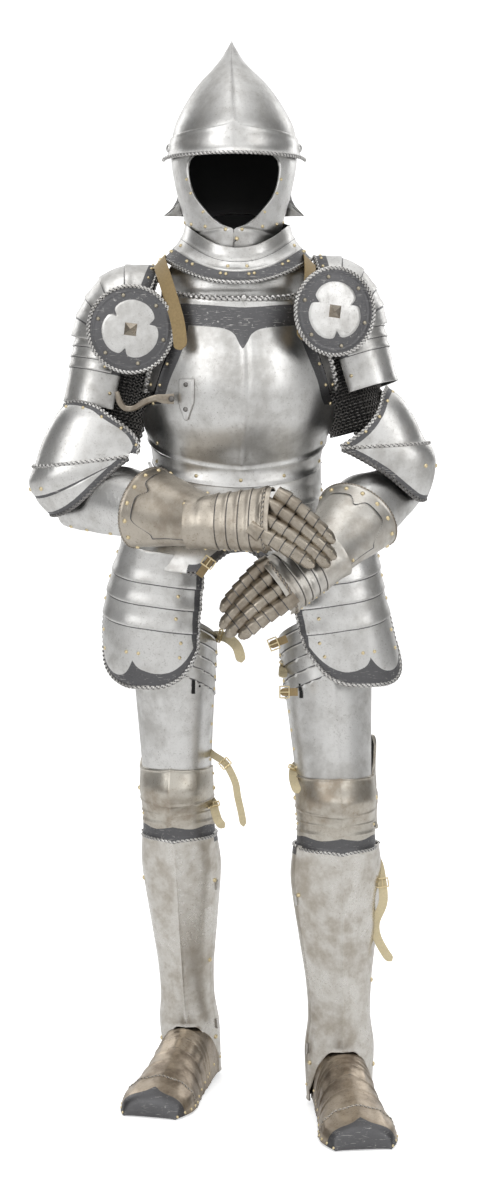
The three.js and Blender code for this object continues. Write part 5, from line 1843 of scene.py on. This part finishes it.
class ARMOUR_OT_straps(bpy.types.Operator):
    """Cuts the leather straps and hangs them with their buckles"""

    bl_idname = "armour.straps"
    bl_label = "Straps and buckles"

    def execute(self, context):
        self.shoulder_straps()
        self.leg_straps()
        self.tasset_straps()
        return {"FINISHED"}

    def shoulder_straps(self):
        for hand, line in (
            (RIGHT, ((-124, 36, 1410), (-126, -20, 1432), (-124, -70, 1424),
                     (-112, -118, 1390), (-94, -146, 1330), (-88, -163, 1284))),
            (LEFT, ((118, 36, 1412), (120, -20, 1434), (122, -66, 1430),
                    (122, -112, 1396), (114, -142, 1340), (108, -158, 1300))),
        ):
            f = Forging()
            points = draped_line(*line)
            away = unit(points - (0, 0, 1290)) * (1, 1, 0.8)
            strap(f, points, away, SHOULDER_STRAP_WIDTH, STRAP_THICKNESS, "tan_leather", tip=12)
            behind = 10
            buckle(f, points[behind], away[behind], points[behind + 1] - points[behind], 30, 17)
            pin = points[8] + (0, 0, 2)
            bar(f, np.array([pin, pin + (0, 0, 9)]), (0, -1, 0), 4.2, 4.2, "brass")
            rivets(f, pin + (0, 0, 9), (0, 0, 1), 3.4)
            f.finish(f"shoulder_strap_{'right' if hand == RIGHT else 'left'}", None)

    def leg_straps(self):
        plans = (
            ("right_knee_upper", "buff_leather", 12,
             ((-52, 50, 604), (-40, 16, 598), (-18, -10, 586), (-2, -18, 557), (3, -18, 530), (9, -18, 503),
              (13, -16, 479))),
            ("right_knee_lower", "buff_leather", 15,
             ((-52, 70, 520), (-40, 30, 512), (-36, 2, 502), (-30, -14, 488), (-20, -10, 476))),
            ("left_knee_inner", "buff_leather", 15,
             ((112, -10, 590), (100, -44, 586), (96, -76, 578), (98, -100, 566), (104, -112, 552))),
            ("left_calf_outer", "buff_leather", 15,
             ((226, -20, 432), (240, -44, 424), (246, -66, 398), (248, -72, 360), (236, -66, 326),
              (238, -64, 300), (252, -60, 272), (264, -58, 256))),
            ("right_thigh", "buff_leather", 17,
             ((-40, 30, 800), (-30, -20, 806), (-14, -60, 806), (2, -84, 794), (10, -90, 768))),
            ("left_thigh", "buff_leather", 15,
             ((86, -20, 760), (80, -60, 756), (78, -96, 744))),
        )
        for name, coat, width, line in plans:
            f = Forging()
            points = draped_line(*line)
            run = unit(np.gradient(points, axis=0))
            away = unit(np.cross(run, np.cross((0, -1, 0.15), run) + 1e-6))
            strap(f, points, away, width, 2.0, coat, tip=10, wave=1.4)
            spot = 26 if name == "left_calf_outer" else len(points) // 3
            buckle(f, points[spot], away[spot], run[spot], width + 5, 14)
            f.finish(f"strap_{name}", None)

    def tasset_straps(self):
        f = Forging()
        places = (((-44, -166, 940), (0.7, 0, 1)), ((62, -158, 806), (-1, 0, -0.4)),
                  ((80, -150, 726), (-1, 0, 0)))
        for at, run in places:
            points = np.array([np.array(at) + np.array(run) * d for d in np.linspace(-22, 8, 9)], float)
            outward = np.array((0, -1.0, 0.1)) * np.ones_like(points)
            strap(f, points, outward, TASSET_STRAP_WIDTH, STRAP_THICKNESS, "tan_leather", tip=8)
            buckle(f, at, (0, -1, 0.1), run, 19, 15)
        f.finish("tasset_buckles", None)


# ---------------------------------------------------------------- stage


# The floor lies this far under the soles, in metres, so that the two never meet.
FLOOR_DROP = 0.0015
# How strongly the floor and the surround glow, for the camera's own rays only.
FLOOR_GLOW = 0.55
SURROUND_GLOW = 1.3
# The brightness of the room from straight ahead (0) to full side (1), which gives the
# polished plates something light and something dark to reflect.
ROOM_STOPS = ((0.0, 0.76), (0.08, 0.84), (0.24, 1.1), (0.48, 0.86), (0.64, 0.44), (0.84, 0.13), (1.0, 0.34))
CAMERA_PLACE = (0.017, -4.032, 0.115)
CAMERA_PITCH = 4.75
SENSOR_HEIGHT = 36


class ARMOUR_OT_stage(bpy.types.Operator):
    """Lays a pale floor, soft lights and the camera"""

    bl_idname = "armour.stage"
    bl_label = "Stage"

    def execute(self, context):
        look = context.scene.armour
        scene = context.scene
        ground = -WAIST_HEIGHT * MM - FLOOR_DROP
        bpy.ops.mesh.primitive_plane_add(size=40, location=(0, 0, ground))
        floor = context.object
        floor.name = "floor"
        pale = plain_finish("pale_floor", (0.9, 0.9, 0.9), 0.9, 0.0)
        shader = pale.node_tree.nodes["Principled BSDF"]
        shader.inputs["Emission Color"].default_value = (1, 1, 1, 1)
        glow = pale.node_tree.nodes.new("ShaderNodeMath")
        glow.operation = "MULTIPLY"
        glow.inputs[1].default_value = FLOOR_GLOW
        glance = pale.node_tree.nodes.new("ShaderNodeLightPath").outputs["Is Camera Ray"]
        pale.node_tree.links.new(glance, glow.inputs[0])
        pale.node_tree.links.new(glow.outputs[0], shader.inputs["Emission Strength"])
        floor.data.materials.append(pale)
        floor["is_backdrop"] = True

        scene.view_settings.view_transform = "Standard"
        world = bpy.data.worlds.new("studio")
        scene.world = world
        world.use_nodes = True
        nodes, links = world.node_tree.nodes, world.node_tree.links
        background = nodes["Background"]
        background.inputs["Strength"].default_value = look.daylight
        way = nodes.new("ShaderNodeTexCoord").outputs["Generated"]
        split = nodes.new("ShaderNodeSeparateXYZ")
        links.new(way, split.inputs["Vector"])
        aside = nodes.new("ShaderNodeMath")
        aside.operation = "ABSOLUTE"
        links.new(split.outputs["X"], aside.inputs[0])
        room = nodes.new("ShaderNodeValToRGB")
        room.color_ramp.elements[0].position, room.color_ramp.elements[1].position = 0.0, 1.0
        while len(room.color_ramp.elements) < len(ROOM_STOPS):
            room.color_ramp.elements.new(0.5)
        for element, (place, grey) in zip(room.color_ramp.elements, ROOM_STOPS):
            element.position, element.color = place, (grey, grey, grey, 1)
        links.new(aside.outputs[0], room.inputs["Fac"])
        seen = nodes.new("ShaderNodeLightPath").outputs["Is Camera Ray"]
        blend = nodes.new("ShaderNodeMix")
        blend.data_type = "RGBA"
        blend.inputs["B"].default_value = (*[SURROUND_GLOW] * 3, 1)
        links.new(seen, blend.inputs["Factor"])
        links.new(room.outputs["Color"], blend.inputs["A"])
        links.new(blend.outputs["Result"], background.inputs["Color"])

        for name, place, aim, size, power in (
            ("key_left", (-2.6, -2.6, 1.5), (0, 0, 0.1), (1.3, 2.6), look.key),
            ("key_right", (2.8, -2.2, 1.2), (0, 0, 0.1), (1.2, 2.6), look.key * 0.8),
            ("overhead", (0, -0.6, 3.2), (0, 0, 0), (2.4, 1.6), look.key * 0.5),
            ("behind_left", (-2.4, 2.6, 1.4), (0, 0, 0), (1.0, 2.2), look.key * 0.45),
            ("behind_right", (2.4, 2.6, 1.4), (0, 0, 0), (1.0, 2.2), look.key * 0.45),
        ):
            light = bpy.data.lights.new(name, "AREA")
            light.shape = "RECTANGLE"
            light.size, light.size_y = size
            light.energy = power
            lamp = bpy.data.objects.new(name, light)
            lamp.location = place
            direction = Vector(aim) - Vector(place)
            lamp.rotation_euler = direction.to_track_quat("-Z", "Y").to_euler()
            scene.collection.objects.link(lamp)

        camera = bpy.data.cameras.new("camera")
        camera.sensor_fit = "VERTICAL"
        camera.sensor_height = SENSOR_HEIGHT
        camera.lens = look.lens
        camera.clip_end = 60
        eye = bpy.data.objects.new("camera", camera)
        eye.location = CAMERA_PLACE
        eye.rotation_euler = (math.radians(90 - CAMERA_PITCH), 0, 0)
        scene.collection.objects.link(eye)
        scene.camera = eye
        return {"FINISHED"}


# ---------------------------------------------------------------- panel


class ArmourLook(bpy.types.PropertyGroup):
    """Sizes and colours that a user would change"""

    bright: bpy.props.FloatVectorProperty(
        name="Bright steel", description="Colour of the polished plates", subtype="COLOR",
        size=3, min=0, max=1, default=(0.70, 0.695, 0.68))
    patina: bpy.props.FloatVectorProperty(
        name="Old steel", description="Colour of the gauntlets", subtype="COLOR",
        size=3, min=0, max=1, default=(0.50, 0.455, 0.39))
    brass: bpy.props.FloatVectorProperty(
        name="Brass", description="Colour of the rivets and buckles", subtype="COLOR",
        size=3, min=0, max=1, default=(0.76, 0.64, 0.40))
    polish: bpy.props.FloatProperty(
        name="Roughness", description="How dull the polished plates are", subtype="FACTOR",
        min=0.05, max=0.9, default=0.34)
    ring_pitch: bpy.props.FloatProperty(
        name="Ring pitch", description="Distance between mail rings", subtype="DISTANCE",
        unit="LENGTH", min=0.004, max=0.012, default=0.0064)
    daylight: bpy.props.FloatProperty(
        name="Daylight", description="Strength of the even light all round", min=0, max=4, default=1.06)
    key: bpy.props.FloatProperty(
        name="Key light", description="Power of the large soft lights", subtype="POWER",
        unit="POWER", min=0, max=2000, default=26)
    lens: bpy.props.FloatProperty(
        name="Lens", description="Focal length of the camera", subtype="DISTANCE_CAMERA",
        min=20, max=200, default=71.5)


STEPS = (
    ARMOUR_OT_finishes, ARMOUR_OT_helmet, ARMOUR_OT_collar, ARMOUR_OT_cuirass, ARMOUR_OT_lance_rest,
    ARMOUR_OT_shoulders, ARMOUR_OT_mail, ARMOUR_OT_elbows, ARMOUR_OT_gauntlets, ARMOUR_OT_tassets,
    ARMOUR_OT_legs, ARMOUR_OT_sabatons, ARMOUR_OT_straps, ARMOUR_OT_stage,
)


class ARMOUR_PT_panel(bpy.types.Panel):
    """Lists the forge's steps and settings"""

    bl_idname = "ARMOUR_PT_panel"
    bl_label = "Plate armour"
    bl_space_type = "VIEW_3D"
    bl_region_type = "UI"
    bl_category = "Armour"

    def draw(self, context):
        for name in ArmourLook.__annotations__:
            self.layout.prop(context.scene.armour, name)
        for step in STEPS:
            self.layout.operator(step.bl_idname)


def register():
    for item in (ArmourLook, *STEPS, ARMOUR_PT_panel):
        bpy.utils.register_class(item)
    bpy.types.Scene.armour = bpy.props.PointerProperty(type=ArmourLook)


def unregister():
    del bpy.types.Scene.armour
    for item in reversed((ArmourLook, *STEPS, ARMOUR_PT_panel)):
        bpy.utils.unregister_class(item)


def main():
    register()
    for step in STEPS:
        group, name = step.bl_idname.split(".")
        getattr(getattr(bpy.ops, group), name)()
    low, high = CAD_BOX
    final_low, final_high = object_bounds()
    {"cad": [list(low), list(high)], "visual": [list(final_low), list(final_high)]}


if __name__ == "__main__":
    main()
